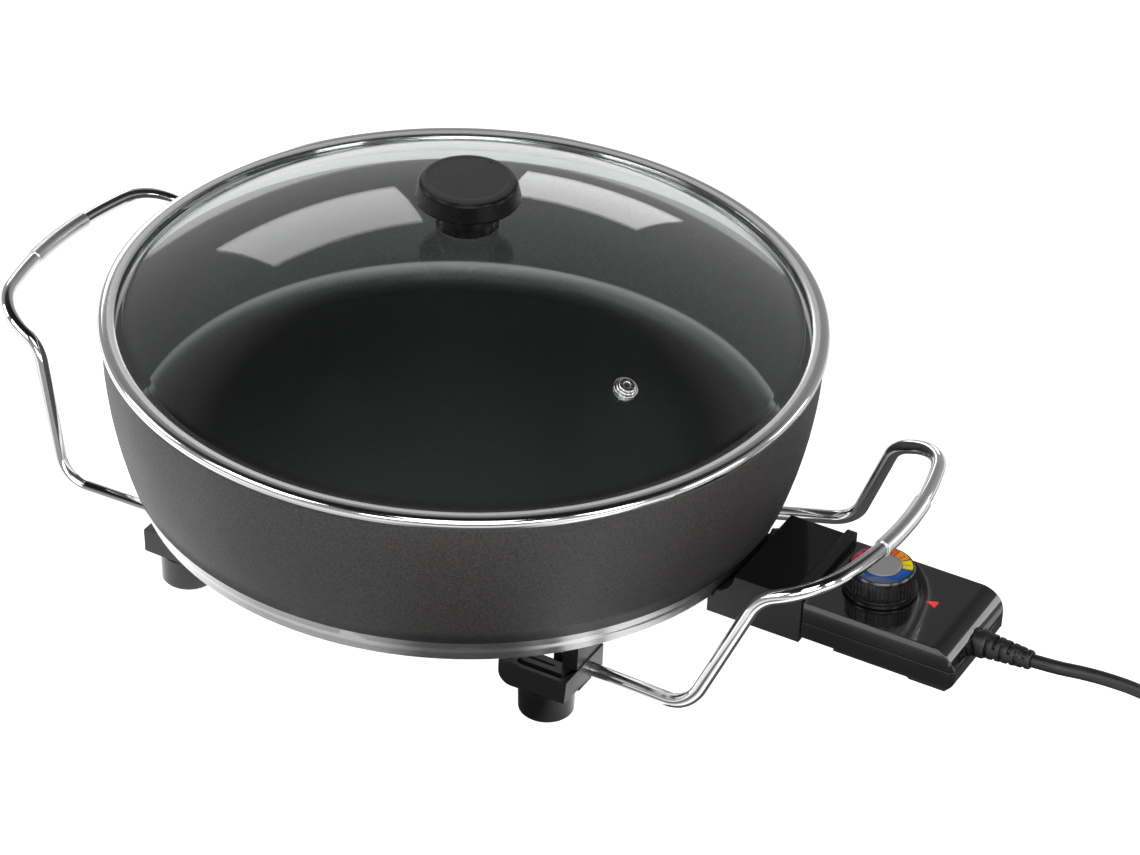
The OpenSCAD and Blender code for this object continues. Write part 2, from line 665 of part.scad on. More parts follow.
module lid_glass() color("#aebcbc", 0.35) difference() {
    rotate_extrude() difference() {
        union() {
            translate([0, glass_z]) square([glass_r, glass_t]);
            intersection() {
                translate([0, ball_z]) circle(r = dome_ball_r, $fn = 360);
                translate([0, glass_z]) square([glass_r, dome_h + glass_t + 1]);
            }
        }
        translate([0, ball_z]) circle(r = dome_ball_r - glass_t, $fn = 360);
        translate([-glass_r, 0]) square([glass_r, apex_z * 2]);
    }
    translate([0, 0, apex_z - 10]) cylinder(h = 20, r = screw_r + 1.5);
    at_vent() cylinder(h = 20, r = eyelet_r + fit_gap, center = true);
}

// Places a child at the vent, with Z along the dome's normal
module at_vent() rotate([0, 0, vent_angle]) translate([0, 0, ball_z]) rotate([0, vent_tilt, 0])
    translate([0, 0, dome_ball_r]) children();

module vent_eyelet() color("#d2d4d5") at_vent() rotate_extrude() difference() {
    union() {
        translate([0, 0.1]) square([6.6, 1.1]);
        translate([0, 1.1]) square([5.4, 1.2]);
        translate([0, 2.2]) square([4.4, 1.3]);
        translate([0, -glass_t - 1.4]) square([eyelet_r, glass_t + 2]);
    }
    translate([-e, -thru / 2]) square([vent_hole_r, thru]);
}

module vent_back_ring() color("#bfc1c2") at_vent() translate([0, 0, -glass_t - 1.4]) difference() {
    cylinder(h = 1.2, r = 6.2);
    translate([0, 0, -1]) cylinder(h = 4, r = eyelet_r + 0.05);
}

module lid_knob() color("#1a1a1b") difference() {
    rotate_extrude() difference() {
        union() {
            // stem, waisted under the cap
            polygon([[0, knob_z], [knob_stem_r - 0.8, knob_z], [knob_stem_r, knob_z + 0.8],
                [knob_stem_r - 0.6, knob_z + knob_stem_h * 0.45], [knob_stem_r - 3, cap_z + 2], [0, cap_z + 2]]);
            // cap, a little wider at its lower edge
            polygon([[0, cap_z + 1.5], [knob_r - 5, cap_z], [knob_r - 0.8, cap_z], [knob_r, cap_z + 1.2],
                [knob_r - 1.6, knob_top_z - 5], [knob_r - 5, knob_top_z - 0.9], [0, knob_top_z]]);
            translate([knob_r - 6, knob_top_z - 5]) circle(r = 4.4);
        }
        // fine groove round the top
        translate([knob_r - 8.5, knob_top_z - 0.2]) circle(r = 0.7, $fn = 24);
    }
    translate([0, 0, knob_z - 1]) cylinder(h = 15, r = bush_r + 0.02);
}

module knob_bush() color("#b79a55") translate([0, 0, knob_z + 1]) difference() {
    cylinder(h = 12, r = bush_r);
    translate([0, 0, -1]) cylinder(h = 12, r = screw_r);
}

module knob_washer() color("#3c3c3e") translate([0, 0, apex_z]) difference() {
    cylinder(h = washer_t, r = knob_stem_r - 1.5);
    translate([0, 0, -1]) cylinder(h = 4, r = screw_r + fit_gap);
}

module screw_washer() color("#bfc1c2") translate([0, 0, apex_z - glass_t - 0.15 - washer_t]) difference() {
    cylinder(h = washer_t, r = 8);
    translate([0, 0, -1]) cylinder(h = 4, r = screw_r + fit_gap);
}

module knob_screw() color("#9b9c9e") translate([0, 0, apex_z - glass_t - 0.15 - washer_t]) {
    difference() {
        translate([0, 0, -3]) cylinder(h = 3, r = 4.6);
        for (a = [0, 90]) rotate([0, 0, a]) translate([-3, -0.5, -4]) cube([6, 1, 2.2]);
    }
    translate([0, 0, -0.5]) cylinder(h = glass_t + 2 * washer_t + 11, r = screw_r - 0.08);
}

// ---------------------------------------------------------------- heat control

// Housing's outline in X and Z, drawn in by t
module case_outline(t = 0) {
    x0 = probe_x0 + t;
    x1 = probe_x1 - t;
    z0 = probe_low_z + t;
    z1 = probe_top_z - t;
    top_r = case_top_r - t;
    low_r = case_low_r - t;
    translate([x0, step_z + t]) square([x1 - top_r - x0, z1 - step_z - t]);
    translate([step_x + t, z0]) square([x1 - low_r - step_x - t, step_z - z0 + low_r]);
    translate([step_x + t, z0 + low_r]) square([x1 - step_x - t, z1 - top_r - z0 - low_r]);
    translate([x1 - top_r, z1 - top_r]) circle(r = top_r);
    translate([x1 - low_r, z0 + low_r]) circle(r = low_r);
}

// Housing's plan shape, drawn in by t, with rounded outer corners
module case_plan(t = 0) {
    r = 4 - t / 2;
    half = probe_half - t;
    translate([probe_x0 + t, -half]) square([probe_l - 2 * t - r, 2 * half]);
    translate([probe_x0 + t, r - half]) square([probe_l - 2 * t, 2 * half - 2 * r]);
    for (s = [1, -1]) translate([probe_x1 - t - r, s * (half - r)]) circle(r = r);
}

module case_solid(t = 0) intersection() {
    along_y(-probe_half, probe_half) case_outline(t);
    linear_extrude(thru) case_plan(t);
}

module case_pillars(r, z0, z1)
    for (x = case_screw_x, s = [1, -1]) translate([x, s * case_screw_y, z0]) cylinder(h = z1 - z0, r = r);

// Shell of the housing between heights z0 and z1
module case_half(z0, z1) difference() {
    intersection() {
        case_solid();
        translate([probe_x0 - 5, -probe_half - 5, z0]) cube([probe_l + 10, 2 * probe_half + 10, z1 - z0]);
    }
    difference() {
        case_solid(case_t);
        case_pillars(3.8, 0, probe_top_z);
        // solid end that holds the strain relief
        translate([relief_seat_x, -12, 0]) cube([probe_l, 24, probe_top_z]);
    }
    // mouth for the contact block
    translate([probe_x0 - 1, -tail_half - fit_gap, tail_z0 - fit_gap])
        cube([case_t + 2, 2 * (tail_half + fit_gap), tail_z1 - tail_z0 + 2 * fit_gap]);
    bar_x(relief_seat_x - 1, probe_x1 + 1, 0, cord_z, relief_neck_r + fit_gap);
}

module lens_outline() polygon([[0, 0], [lens_l, lens_w / 2], [lens_l, -lens_w / 2]]);

module case_upper() color("#17181a") difference() {
    case_half(parting_z, probe_top_z + 1);
    translate([dial_x, 0, parting_z]) cylinder(h = thru, r = shaft_r + run_gap);
    translate([lens_x, lens_y, parting_z]) linear_extrude(thru) lens_outline();
    case_pillars(case_screw_r, parting_z - 1, parting_z + 9);
}

module case_lower() color("#17181a") difference() {
    case_half(probe_low_z - 1, parting_z);
    case_pillars(case_screw_r + fit_gap, 0, parting_z + 1);
    case_pillars(2.9, 0, probe_low_z + 2.6);
    // cooling slots under the switch
    for (i = [-3:3]) translate([dial_x + 12 + 4.5 * i, -9, 0]) cube([2, 18, frame_z + e]);
}

module case_screws() color("#9b9c9e") difference() {
    union() {
        case_pillars(2.7, probe_low_z + 0.3, probe_low_z + 2.5);
        case_pillars(case_screw_r - 0.06, probe_low_z + 2, parting_z + 8);
    }
    for (x = case_screw_x, s = [1, -1], a = [0, 90]) translate([x, s * case_screw_y, probe_low_z]) rotate([0, 0, a])
        translate([-1.8, -0.35, -1]) cube([3.6, 0.7, 2.3]);
}

module contact_block() color("#8c3b2c") difference() {
    union() {
        translate([nose_x0, -nose_half, nose_z0]) cube([probe_x0 - nose_x0, 2 * nose_half, nose_z1 - nose_z0]);
        translate([probe_x0 - e, -tail_half, tail_z0]) cube([tail_x1 - probe_x0 + e, 2 * tail_half, tail_z1 - tail_z0]);
    }
    // slots that lighten the nose, above the sockets
    for (s = [1, -1]) translate([nose_x0 - 1, s > 0 ? 6 : -nose_half + 4, pin_z + 5.5])
        cube([probe_x0 - nose_x0 - 3, nose_half - 10, nose_z1 - pin_z - 8.5]);
    for (s = [1, -1]) {
        bar_x(nose_x0 - 1, socket_x1 + 0.1, s * pin_y, pin_z, socket_r + 0.02);
        // slot for the socket's tab
        translate([socket_x1 - 4.1, s * pin_y - 1.6, pin_z + socket_r - 0.65]) cube([tail_x1 - socket_x1 + 6, 3.2, 0.7]);
        // funnelled mouths
        translate([nose_x0 - e, s * pin_y, pin_z]) rotate([0, 90, 0]) cylinder(h = 1.4, r1 = socket_r + 1, r2 = socket_r);
    }
    bar_x(nose_x0 - 1, sensor_end_x + 0.1, 0, pin_z, sensor_d / 2 + 0.02);
}

module contact_sockets() color("#b79a55") for (s = [1, -1]) difference() {
    union() {
        bar_x(nose_x0 + 2, socket_x1, s * pin_y, pin_z, socket_r);
        translate([socket_x1 - 4, s * pin_y - 1.5, pin_z + socket_r - 0.6]) cube([tail_x1 - socket_x1 + 8, 3, 0.6]);
    }
    bar_x(nose_x0 + 1, socket_x1 - 1, s * pin_y, pin_z, pin_d / 2 + 0.1);
}

module sensor_rod() color("#c4c6c8") {
    bar_x(sensor_tip_x + sensor_d / 2, sensor_end_x, 0, pin_z, sensor_d / 2);
    translate([sensor_tip_x + sensor_d / 2, 0, pin_z]) sphere(r = sensor_d / 2);
}

// Stack of insulators that holds the switch's blades at their outer end
module switch_stack(z0, z1) translate([lens_x, -5, z0]) cube([6, 10, z1 - z0]);

module switch_frame() color("#cfc7b4") {
    translate([frame_x0, -12, frame_z]) cube([frame_x1 - frame_x0, 24, 1.2]);
    switch_stack(frame_z + 1.1, blade_z);
    switch_stack(blade_z + blade_t, spring_z);
    switch_stack(spring_z + spring_t, lamp_z);
}

module bimetal_blade() color("#b8a98e") translate([frame_x0, -4, blade_z]) cube([lens_x + 6 - frame_x0, 8, blade_t]);

module switch_blade() color("#c58f58") translate([dial_x + 1, -3, spring_z]) cube([lens_x + 5 - dial_x, 6, spring_t]);

module switch_contacts() color("#d9d9d4") translate([dial_x + 10, 0, 0]) {
    translate([0, 0, blade_z + blade_t]) cylinder(h = 1.5, r = 2);
    translate([0, 0, blade_z + blade_t + 1.7]) cylinder(h = spring_z - blade_z - blade_t - 1.7, r = 2);
}

module pilot_lamp() color("#e7a54a") translate([lens_x + 3, lens_y, lamp_z]) {
    cylinder(h = 3.4, r = 2.4);
    translate([0, 0, 3.4]) sphere(r = 2.4);
}

module pilot_lens() color("#d8231c") translate([lens_x, lens_y, 0]) {
    translate([0, 0, probe_top_z - case_t - 0.5]) linear_extrude(case_t + 0.8) intersection() {
        lens_outline();
        translate([0.3, -lens_w]) square([lens_l - 0.35, 2 * lens_w]);
    }
    translate([-1, -lens_w / 2 - 1, probe_top_z - case_t - 1.2]) cube([lens_l + 2, lens_w + 2, 1.2]);
}

module cord_clamp() color("#6f7073") difference() {
    translate([clamp_x0, -9, frame_z]) cube([5, 18, cord_z + 4.5 - frame_z]);
    bar_x(clamp_x0 - 1, clamp_x0 + 6, 0, cord_z, cord_r + 0.05);
}

module strain_relief() color("#141415") translate([0, 0, cord_z]) rotate([0, 90, 0]) {
    tip_r = cord_r + 1.6;
    core_r = cord_r + 0.9;
    pitch = (relief_l - 5) / relief_ribs;
    rotate_extrude() {
        // end inside the housing, collar and neck
        translate([0, clamp_x0 - 4]) square([cord_r, relief_seat_x - clamp_x0 + 4]);
        translate([0, relief_seat_x - 3.3]) square([relief_neck_r + 1.6, 3]);
        translate([0, relief_seat_x - 0.5]) square([relief_neck_r, relief_x0 - relief_seat_x + 1]);
        translate([0, relief_x0]) square([core_r, relief_l]);
    }
    // tapered sleeve with slots on two sides, by turns, so that it bends both ways
    difference() {
        rotate_extrude() polygon([[0, relief_x0], [relief_r, relief_x0], [relief_r, relief_x0 + 3],
            [relief_r - 0.7, relief_x0 + 4], [tip_r, relief_x1 - 0.8], [tip_r - 0.6, relief_x1], [0, relief_x1]]);
        for (i = [0:relief_ribs - 1]) translate([0, 0, relief_x0 + 4.5 + pitch * i]) difference() {
            cylinder(h = pitch * 0.42, r = relief_r + 1);
            translate([0, 0, -1]) cylinder(h = pitch + 2, r = core_r - e);
            rotate([0, 0, 90 * (i % 2)]) translate([-relief_r - 2, -2.6, -1]) cube([2 * relief_r + 4, 5.2, pitch + 2]);
        }
    }
}

// ---------------------------------------------------------------- dial

module dial() color("#1a1b1d") translate([dial_x, 0, dial_z]) difference() {
    union() {
        cylinder(h = 1.8, r = dial_r + 2.4);
        translate([0, 0, 1.8 - e]) cylinder(h = 1.7, r1 = dial_r + 2.4, r2 = dial_r + 1.4);
        cylinder(h = dial_h - 1, r = dial_r - 0.6);
        translate([0, 0, 3]) linear_extrude(dial_h - 5.6) for (i = [0:dial_ribs - 1])
            rotate(360 * i / dial_ribs) translate([dial_r - 0.5, 0]) circle(r = 0.8, $fn = 16);
        translate([0, 0, dial_h - 2.8]) cylinder(h = 1.8, r = dial_r);
        translate([0, 0, dial_h - 1 - e]) cylinder(h = 1, r1 = dial_r, r2 = dial_r - 0.7);
    }
    // hollow with a hub in the middle
    translate([0, 0, -e]) difference() {
        cylinder(h = dial_h - 4, r = dial_r - 3.4);
        cylinder(h = dial_h, r = shaft_r + 2.4);
    }
    translate([0, 0, -e]) cylinder(h = dial_h - 5, r = shaft_r + 0.02);
    // seats of the scale ring and the cap
    translate([0, 0, dial_h - 0.4]) cylinder(h = 2, r = scale_r + fit_gap);
    translate([0, 0, dial_h - 1.6]) cylinder(h = 4, r = cap_r + fit_gap);
}

module dial_ring() color("#e9e9e6") translate([dial_x, 0, dial_z + dial_h - 0.4]) difference() {
    cylinder(h = 0.35, r = scale_r);
    translate([0, 0, -1]) cylinder(h = 3, r = cap_r + fit_gap);
}

module dial_cap() color("#c9cbcd") translate([dial_x, 0, dial_z + dial_h - 1.6]) {
    cylinder(h = 1.7, r = cap_r);
    translate([0, 0, 1.7 - e]) cylinder(h = 0.4, r1 = cap_r, r2 = cap_r - 0.5);
}

module dial_shaft() color("#c4c6c8") translate([dial_x, 0, 0]) {
    translate([0, 0, spring_z + spring_t + seat_gap]) cylinder(h = dial_z + dial_h - 6 - spring_z - spring_t, r = shaft_r);
    // collar that keeps the dial from lifting out
    translate([0, 0, probe_top_z - case_t - 2]) cylinder(h = 1.7, r = shaft_r + 2);
}

module dial_cam() color("#d8d3c4") translate([dial_x, 0, spring_z + spring_t + seat_gap]) linear_extrude(3) difference() {
    union() {
        circle(r = 5.2);
        translate([3.6, 0]) circle(r = 3.6);
    }
    circle(r = shaft_r + 0.02);
}

// ---------------------------------------------------------------- cord

module mains_cord() color("#101011") swept_tube(cord_route, cord_r, 10);

module cord_coil() color("#101011") translate([coil_c[0], coil_c[1], tie_t]) rotate_extrude()
    translate([coil_r - coil_w / 2, 0]) rounded_rect(coil_w, coil_w, cord_r);

// Strap that holds the coil's turns together
module cord_tie() color("#1c1c1e") translate([coil_c[0], coil_c[1], 0]) rotate([0, 0, tie_angle])
    rotate_extrude(angle = 16) translate([coil_r - coil_w / 2 - tie_t, 0]) difference() {
        rounded_rect(coil_w + 2 * tie_t, coil_w + 2 * tie_t, cord_r + tie_t);
        translate([tie_t - 0.05, tie_t - 0.05]) rounded_rect(coil_w + 0.1, coil_w + 0.1, cord_r);
    }

module plug_lead() color("#101011") swept_tube(plug_route, cord_r, 10);

// Places a child at the plug's lead, with Z along the direction that the plug points in
module at_plug() {
    last = len(plug_route) - 1;
    way = plug_route[last] - plug_route[last - 1];
    translate([plug_route[last][0], plug_route[last][1], plug_r]) rotate([0, 0, atan2(way[1], way[0])])
        rotate([0, 90, 0]) translate([0, 0, seat_gap]) children();
}

module mains_plug() color("#131314") at_plug() difference() {
    rotate_extrude() {
        polygon([[0, 0], [cord_r + 0.8, 0], [cord_r + 1.6, 9], [cord_r + 2.4, 11], [plug_r - 3, 16], [plug_r, 22],
            [plug_r, plug_l - 1.2], [plug_r - 1.2, plug_l], [0, plug_l]]);
        for (x = [1.5:2.6:8]) translate([0, x]) square([cord_r + 2.2, 1.2]);
    }
    // grooves of the side contacts
    for (s = [1, -1]) translate([s > 0 ? plug_r - 2.4 : -plug_r - 5 + 2.4, -3, plug_l - 15]) cube([5, 6, 20]);
    for (s = [1, -1]) translate([0, s * plug_pin_gap, plug_l - 6]) cylinder(h = 10, r = plug_pin_r - 0.38);
}

module plug_pins() color("#c9cbcc") at_plug() {
    for (s = [1, -1]) translate([0, s * plug_pin_gap, plug_l]) {
        translate([0, 0, -6]) cylinder(h = 6 + plug_pin_foot + e, r = plug_pin_r - 0.4);
        translate([0, 0, plug_pin_foot]) cylinder(h = plug_pin_l - 1, r = plug_pin_r);
        translate([0, 0, plug_pin_foot + plug_pin_l - 1 - e]) cylinder(h = 0.8, r1 = plug_pin_r, r2 = plug_pin_r - 0.7);
    }
    for (s = [1, -1]) translate([s > 0 ? plug_r - 2.35 : 1.45 - plug_r, -2, plug_l - 14.9]) cube([0.9, 4, 14]);
}

// ---------------------------------------------------------------- parts

pan();
heating_element();
terminal_beads();
sensor_sleeve();
socket_shroud();
shroud_screws();
at_corner(1, -1) foot_block();  // foot_block_front_right
at_corner(1, 1) foot_block();  // foot_block_back_right
at_corner(-1, -1) foot_block();  // foot_block_front_left
at_corner(-1, 1) foot_block();  // foot_block_back_left
at_corner(1, -1) foot_pad();  // foot_pad_front_right
at_corner(1, 1) foot_pad();  // foot_pad_back_right
at_corner(-1, -1) foot_pad();  // foot_pad_front_left
at_corner(-1, 1) foot_pad();  // foot_pad_back_left
foot_screws();
rod_clamp_screws();
handle_rod();  // handle_right
mirror([1, 0, 0]) handle_rod();  // handle_left
grip_sleeve();  // sleeve_right
mirror([1, 0, 0]) grip_sleeve();  // sleeve_left
lid_glass();
lid_rim();
lid_knob();
knob_bush();
knob_washer();
knob_screw();
screw_washer();
vent_eyelet();
vent_back_ring();
case_upper();
case_lower();
case_screws();
contact_block();
contact_sockets();
sensor_rod();
switch_frame();
bimetal_blade();
switch_blade();
switch_contacts();
pilot_lamp();
pilot_lens();
cord_clamp();
strain_relief();
dial();
dial_ring();
dial_cap();
dial_shaft();
dial_cam();
mains_cord();
cord_coil();
cord_tie();
plug_lead();
mains_plug();
plug_pins();
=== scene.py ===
# Round electric skillet: a cast pan on four feet, a glass lid that lifts off, and a plug-in
# heat control with its cord. Everything is in metres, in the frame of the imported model:
# +Z up the pan's axis, +X towards the heat control, the table at z = 0.
import math

import bmesh
import bpy
from mathutils import Matrix, Vector
from mathutils.bvhtree import BVHTree


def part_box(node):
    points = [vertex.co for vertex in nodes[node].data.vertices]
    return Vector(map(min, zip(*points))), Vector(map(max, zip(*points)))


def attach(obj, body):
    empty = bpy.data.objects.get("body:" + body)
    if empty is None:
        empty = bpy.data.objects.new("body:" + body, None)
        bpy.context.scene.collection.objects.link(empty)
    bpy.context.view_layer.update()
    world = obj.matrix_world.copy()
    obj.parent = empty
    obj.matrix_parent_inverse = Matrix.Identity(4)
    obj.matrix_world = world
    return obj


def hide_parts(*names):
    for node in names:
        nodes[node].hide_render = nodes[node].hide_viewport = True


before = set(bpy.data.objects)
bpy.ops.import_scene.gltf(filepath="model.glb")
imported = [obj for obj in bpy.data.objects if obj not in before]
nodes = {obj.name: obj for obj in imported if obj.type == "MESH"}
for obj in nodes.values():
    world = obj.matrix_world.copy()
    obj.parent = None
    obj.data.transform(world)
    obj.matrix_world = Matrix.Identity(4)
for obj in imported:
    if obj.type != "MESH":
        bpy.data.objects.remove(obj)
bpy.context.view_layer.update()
scene = bpy.context.scene


# ---------------------------------------------------------------- camera
# A long lens from the front right, looking down on the lid.
camera_data = bpy.data.cameras.new("camera")
camera_data.sensor_width = 36
camera_data.sensor_fit = "HORIZONTAL"
camera_data.lens = 138.95
camera_data.clip_start = 0.1
camera_data.clip_end = 40
camera = bpy.data.objects.new("camera", camera_data)
camera.location = (0.99071, -1.76855, 1.45294)
camera.rotation_euler = [math.radians(a) for a in (55.9493, -2.0892, 28.9653)]
scene.collection.objects.link(camera)
scene.camera = camera
scene.view_settings.view_transform = "Standard"


# ---------------------------------------------------------------- mains lead
# Round three-core flex of about 7 mm in a black rubber sheath, moulded into the strain relief.
# It drops to the table, and its spare length is wound in a coil two turns wide and two high.
class Wire:
    """An output socket of a finish's node tree that can be used in expressions."""

    def __init__(self, finish, node, output=0):
        self.finish = finish
        self.node = node
        self.socket = node.outputs[output]

    def __getitem__(self, output):
        return Wire(self.finish, self.node, output)

    def maths(self, operation, first, second):
        """A maths node that takes numbers or wires."""
        return self.finish.node("ShaderNodeMath", {"operation": operation}, {0: first, 1: second})

    def __add__(self, other):
        return self.maths("ADD", self, other)

    def __sub__(self, other):
        return self.maths("SUBTRACT", self, other)

    def __rsub__(self, other):
        return self.maths("SUBTRACT", other, self)

    def __mul__(self, other):
        return self.maths("MULTIPLY", self, other)

    def __truediv__(self, other):
        return self.maths("DIVIDE", self, other)

    def __pow__(self, other):
        return self.maths("POWER", self, other)

    def __gt__(self, other):
        return self.maths("GREATER_THAN", self, other)

    def __lt__(self, other):
        return self.maths("LESS_THAN", self, other)


class Finish:
    """A material with one Principled shader, built node by node."""

    def __init__(self, name, **plain):
        self.material = bpy.data.materials.new(name)
        self.material.use_nodes = True
        self.tree = self.material.node_tree
        self.tree.nodes.clear()
        self.output = self.tree.nodes.new("ShaderNodeOutputMaterial")
        self.shader = self.tree.nodes.new("ShaderNodeBsdfPrincipled")
        self.tree.links.new(self.shader.outputs[0], self.output.inputs[0])
        for socket, value in plain.items():
            self.set(socket.replace("_", " "), value)

    def plug(self, node, key, value):
        """Links a wire to one of a node's inputs, or gives the input a plain number or colour."""
        socket = node.inputs[key]
        if isinstance(value, Wire):
            self.tree.links.new(value.socket, socket)
        elif socket.type == "RGBA":
            socket.default_value = (*value, 1)
        else:
            socket.default_value = value

    def node(self, kind, settings=None, inputs=None):
        """A new node. Its setting "stops" holds the (place, colour) pairs of a colour ramp."""
        node = self.tree.nodes.new(kind)
        for key, value in (settings or {}).items():
            if key == "stops":
                ramp = node.color_ramp
                ramp.elements[0].position = value[0][0]
                ramp.elements[-1].position = value[-1][0]
                for place, colour in value[1:-1]:
                    ramp.elements.new(place)
                for element, (place, colour) in zip(ramp.elements, value):
                    element.color = (*colour, 1)
            elif key == "interpolation":
                node.color_ramp.interpolation = value
            else:
                setattr(node, key, value)
        for key, value in (inputs or {}).items():
            self.plug(node, key, value)
        return Wire(self, node)

    def set(self, socket, value):
        """Gives the shader's input a wire or a plain value."""
        self.plug(self.shader, socket, value)

    def place(self):
        """The place of the shaded point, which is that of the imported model."""
        return Wire(self, self.tree.nodes.new("ShaderNodeTexCoord"), "Object")

    def axes(self):
        """The x, y and z of that place."""
        split = self.node("ShaderNodeSeparateXYZ", None, {0: self.place()})
        return split["X"], split["Y"], split["Z"]

    def noise(self, scale, detail=2.0, rough=0.5, at=None):
        """Even noise with its middle at 0.5."""
        inputs = {"Vector": at or self.place(), "Scale": scale, "Detail": detail, "Roughness": rough}
        return self.node("ShaderNodeTexNoise", None, inputs)

    def streaks(self, detail, rough, along_x, along_y, along_z):
        """Noise drawn out along the axes on which it is scaled least."""
        drawn = self.node("ShaderNodeCombineXYZ", None, {0: along_x, 1: along_y, 2: along_z})
        return self.noise(1, detail, rough, drawn)

    def between(self, low, high, factor):
        """Mixes two colours."""
        mix = self.node("ShaderNodeMix", {"data_type": "RGBA"}, {0: factor, 6: low, 7: high})
        return mix[2]

    def stretch(self, value, low, high, new_low=0.0, new_high=1.0):
        """Brings a value's range from low to high to a new one, and holds it at the ends."""
        inputs = {0: value, 1: low, 2: high, 3: new_low, 4: new_high}
        return self.node("ShaderNodeMapRange", {"clamp": True}, inputs)

    def spread(self, noise, new_low, new_high):
        """Brings nearly all of a noise, which lies from 0.3 to 0.7, to a new range."""
        return self.stretch(noise, 0.3, 0.7, new_low, new_high)

    def zone(self, value, starts, full, fades, ends):
        """1 where the value is between full and fades, down to 0 at starts and at ends."""
        return self.stretch(value, starts, full) * self.stretch(value, fades, ends, 1.0, 0.0)

    def relief(self, height, depth, strength):
        """Bumps the surface by depth metres where height is 1."""
        inputs = {"Strength": strength, "Distance": depth, "Height": height}
        bump = self.node("ShaderNodeBump", None, inputs)
        self.set("Normal", bump)


cord_radius = 0.0037
cord_route = [
    (0.3493, 0, 0.0585), (0.364, 0.002, 0.0582), (0.377, 0.007, 0.0564), (0.390, 0.013, 0.0528),
    (0.403, 0.020, 0.047), (0.415, 0.026, 0.040), (0.427, 0.033, 0.0315), (0.439, 0.041, 0.0225),
    (0.451, 0.049, 0.0145), (0.463, 0.0575, 0.0085),
]
plug_route = [
    (0.517, 0.104, 0.0125), (0.519, 0.113, 0.014), (0.521, 0.124, 0.016), (0.523, 0.136, 0.0176),
    (0.525, 0.148, 0.018),
]
coil_middle = Vector((0.464, 0.111, 0))
coil_inner, coil_outer = 0.0382, 0.0458
coil_low, coil_high = 0.0047, 0.0121
coil_angles = range(-66, 1040, 18)
moves_in, climbs, moves_out = (200, 275), (560, 635), (845, 920)


def eased(angle, span, low, high):
    """Goes gently from low to high while the angle goes through its span."""
    start, end = span
    share = min(1, max(0, (angle - start) / (end - start)))
    return low + (high - low) * share * share * (3 - 2 * share)


def coil_point(angle):
    """Where the cord lies after turning by angle round the coil."""
    radius = eased(angle, moves_in, coil_outer, coil_inner)
    radius += eased(angle, moves_out, 0, coil_outer - coil_inner)
    height = eased(angle, climbs, coil_low, coil_high)
    turn = math.radians(angle)
    return coil_middle + Vector((radius * math.cos(turn), radius * math.sin(turn), height))


cord_points = [Vector(p) for p in cord_route]
cord_points += [coil_point(a) for a in coil_angles]
cord_points += [Vector(p) for p in plug_route]
cord_curve = bpy.data.curves.new("mains_lead", "CURVE")
cord_curve.dimensions = "3D"
cord_curve.bevel_depth = cord_radius
cord_curve.bevel_resolution = 5
cord_curve.use_fill_caps = True
cord_curve.resolution_u = 5
spline = cord_curve.splines.new("BEZIER")
spline.bezier_points.add(len(cord_points) - 1)
for knot, point in zip(spline.bezier_points, cord_points):
    knot.co = point
    knot.handle_left_type = knot.handle_right_type = "AUTO"
mains_lead = bpy.data.objects.new("mains_lead", cord_curve)
scene.collection.objects.link(mains_lead)
cord_rubber = Finish("cord_rubber")
dust = cord_rubber.noise(90, 4)
cord_rubber.set("Base Color", cord_rubber.between((0.008, 0.008, 0.009), (0.02, 0.02, 0.021), dust))
cord_rubber.set("Roughness", cord_rubber.spread(dust, 0.36, 0.5))
cord_rubber.relief(cord_rubber.noise(2500, 3), 0.00004, 0.5)
cord_curve.materials.append(cord_rubber.material)
bpy.context.view_layer.update()
cord_length = sum((b - a).length for a, b in zip(cord_points, cord_points[1:]))
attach(mains_lead, "heat_control")
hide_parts("mains_cord", "cord_coil", "plug_lead")


# ---------------------------------------------------------------- coil strap
# A narrow nylon strap holds the coil's turns together. It is one flat band, closed round them.
one_corner, one_face, deepest_round = 2e-6, math.radians(0.3), 0.6


def merged(node_name, piece_name, edge=0.0, steps=2, corner=35, shortest=0.0):
    """A mesh object with a solid's own shape, its sharp edges rounded by edge metres.

    Corners nearer than one_corner and faces that turn less than one_face become one. A rounded
    corner that ends further off the solid than deepest_round of the edge goes back to its skin."""
    work = bmesh.new()
    work.from_mesh(nodes[node_name].data)
    bmesh.ops.remove_doubles(work, verts=work.verts, dist=one_corner)
    bmesh.ops.dissolve_limit(work, angle_limit=one_face, verts=work.verts, edges=work.edges)
    if shortest:
        bmesh.ops.dissolve_degenerate(work, dist=shortest, edges=work.edges)
    solid = BVHTree.FromBMesh(work)
    mesh = bpy.data.meshes.new(piece_name)
    work.to_mesh(mesh)
    work.free()
    piece = bpy.data.objects.new(piece_name, mesh)
    scene.collection.objects.link(piece)
    for polygon in mesh.polygons:
        polygon.use_smooth = True
    if edge:
        rounding = piece.modifiers.new("rounding", "BEVEL")
        rounding.width = edge
        rounding.segments = steps
        rounding.limit_method = "ANGLE"
        rounding.angle_limit = math.radians(corner)
        rounding.use_clamp_overlap = False
        settle(piece, corner)
        for vertex in piece.data.vertices:
            skin_point, _, _, gap = solid.find_nearest(vertex.co)
            if gap > deepest_round * edge:
                vertex.co = skin_point
    evening = piece.modifiers.new("evening", "WEIGHTED_NORMAL")
    evening.keep_sharp = True
    settle(piece, corner)
    return piece


def settle(piece, corner=35):
    """Turns what a piece's modifiers make into its plain mesh, creased where it turns sharply."""
    graph = bpy.context.evaluated_depsgraph_get()
    mesh = bpy.data.meshes.new_from_object(piece.evaluated_get(graph), depsgraph=graph)
    mesh.name = piece.name
    piece.modifiers.clear()
    piece.data = mesh
    mesh.set_sharp_from_angle(angle=math.radians(corner))


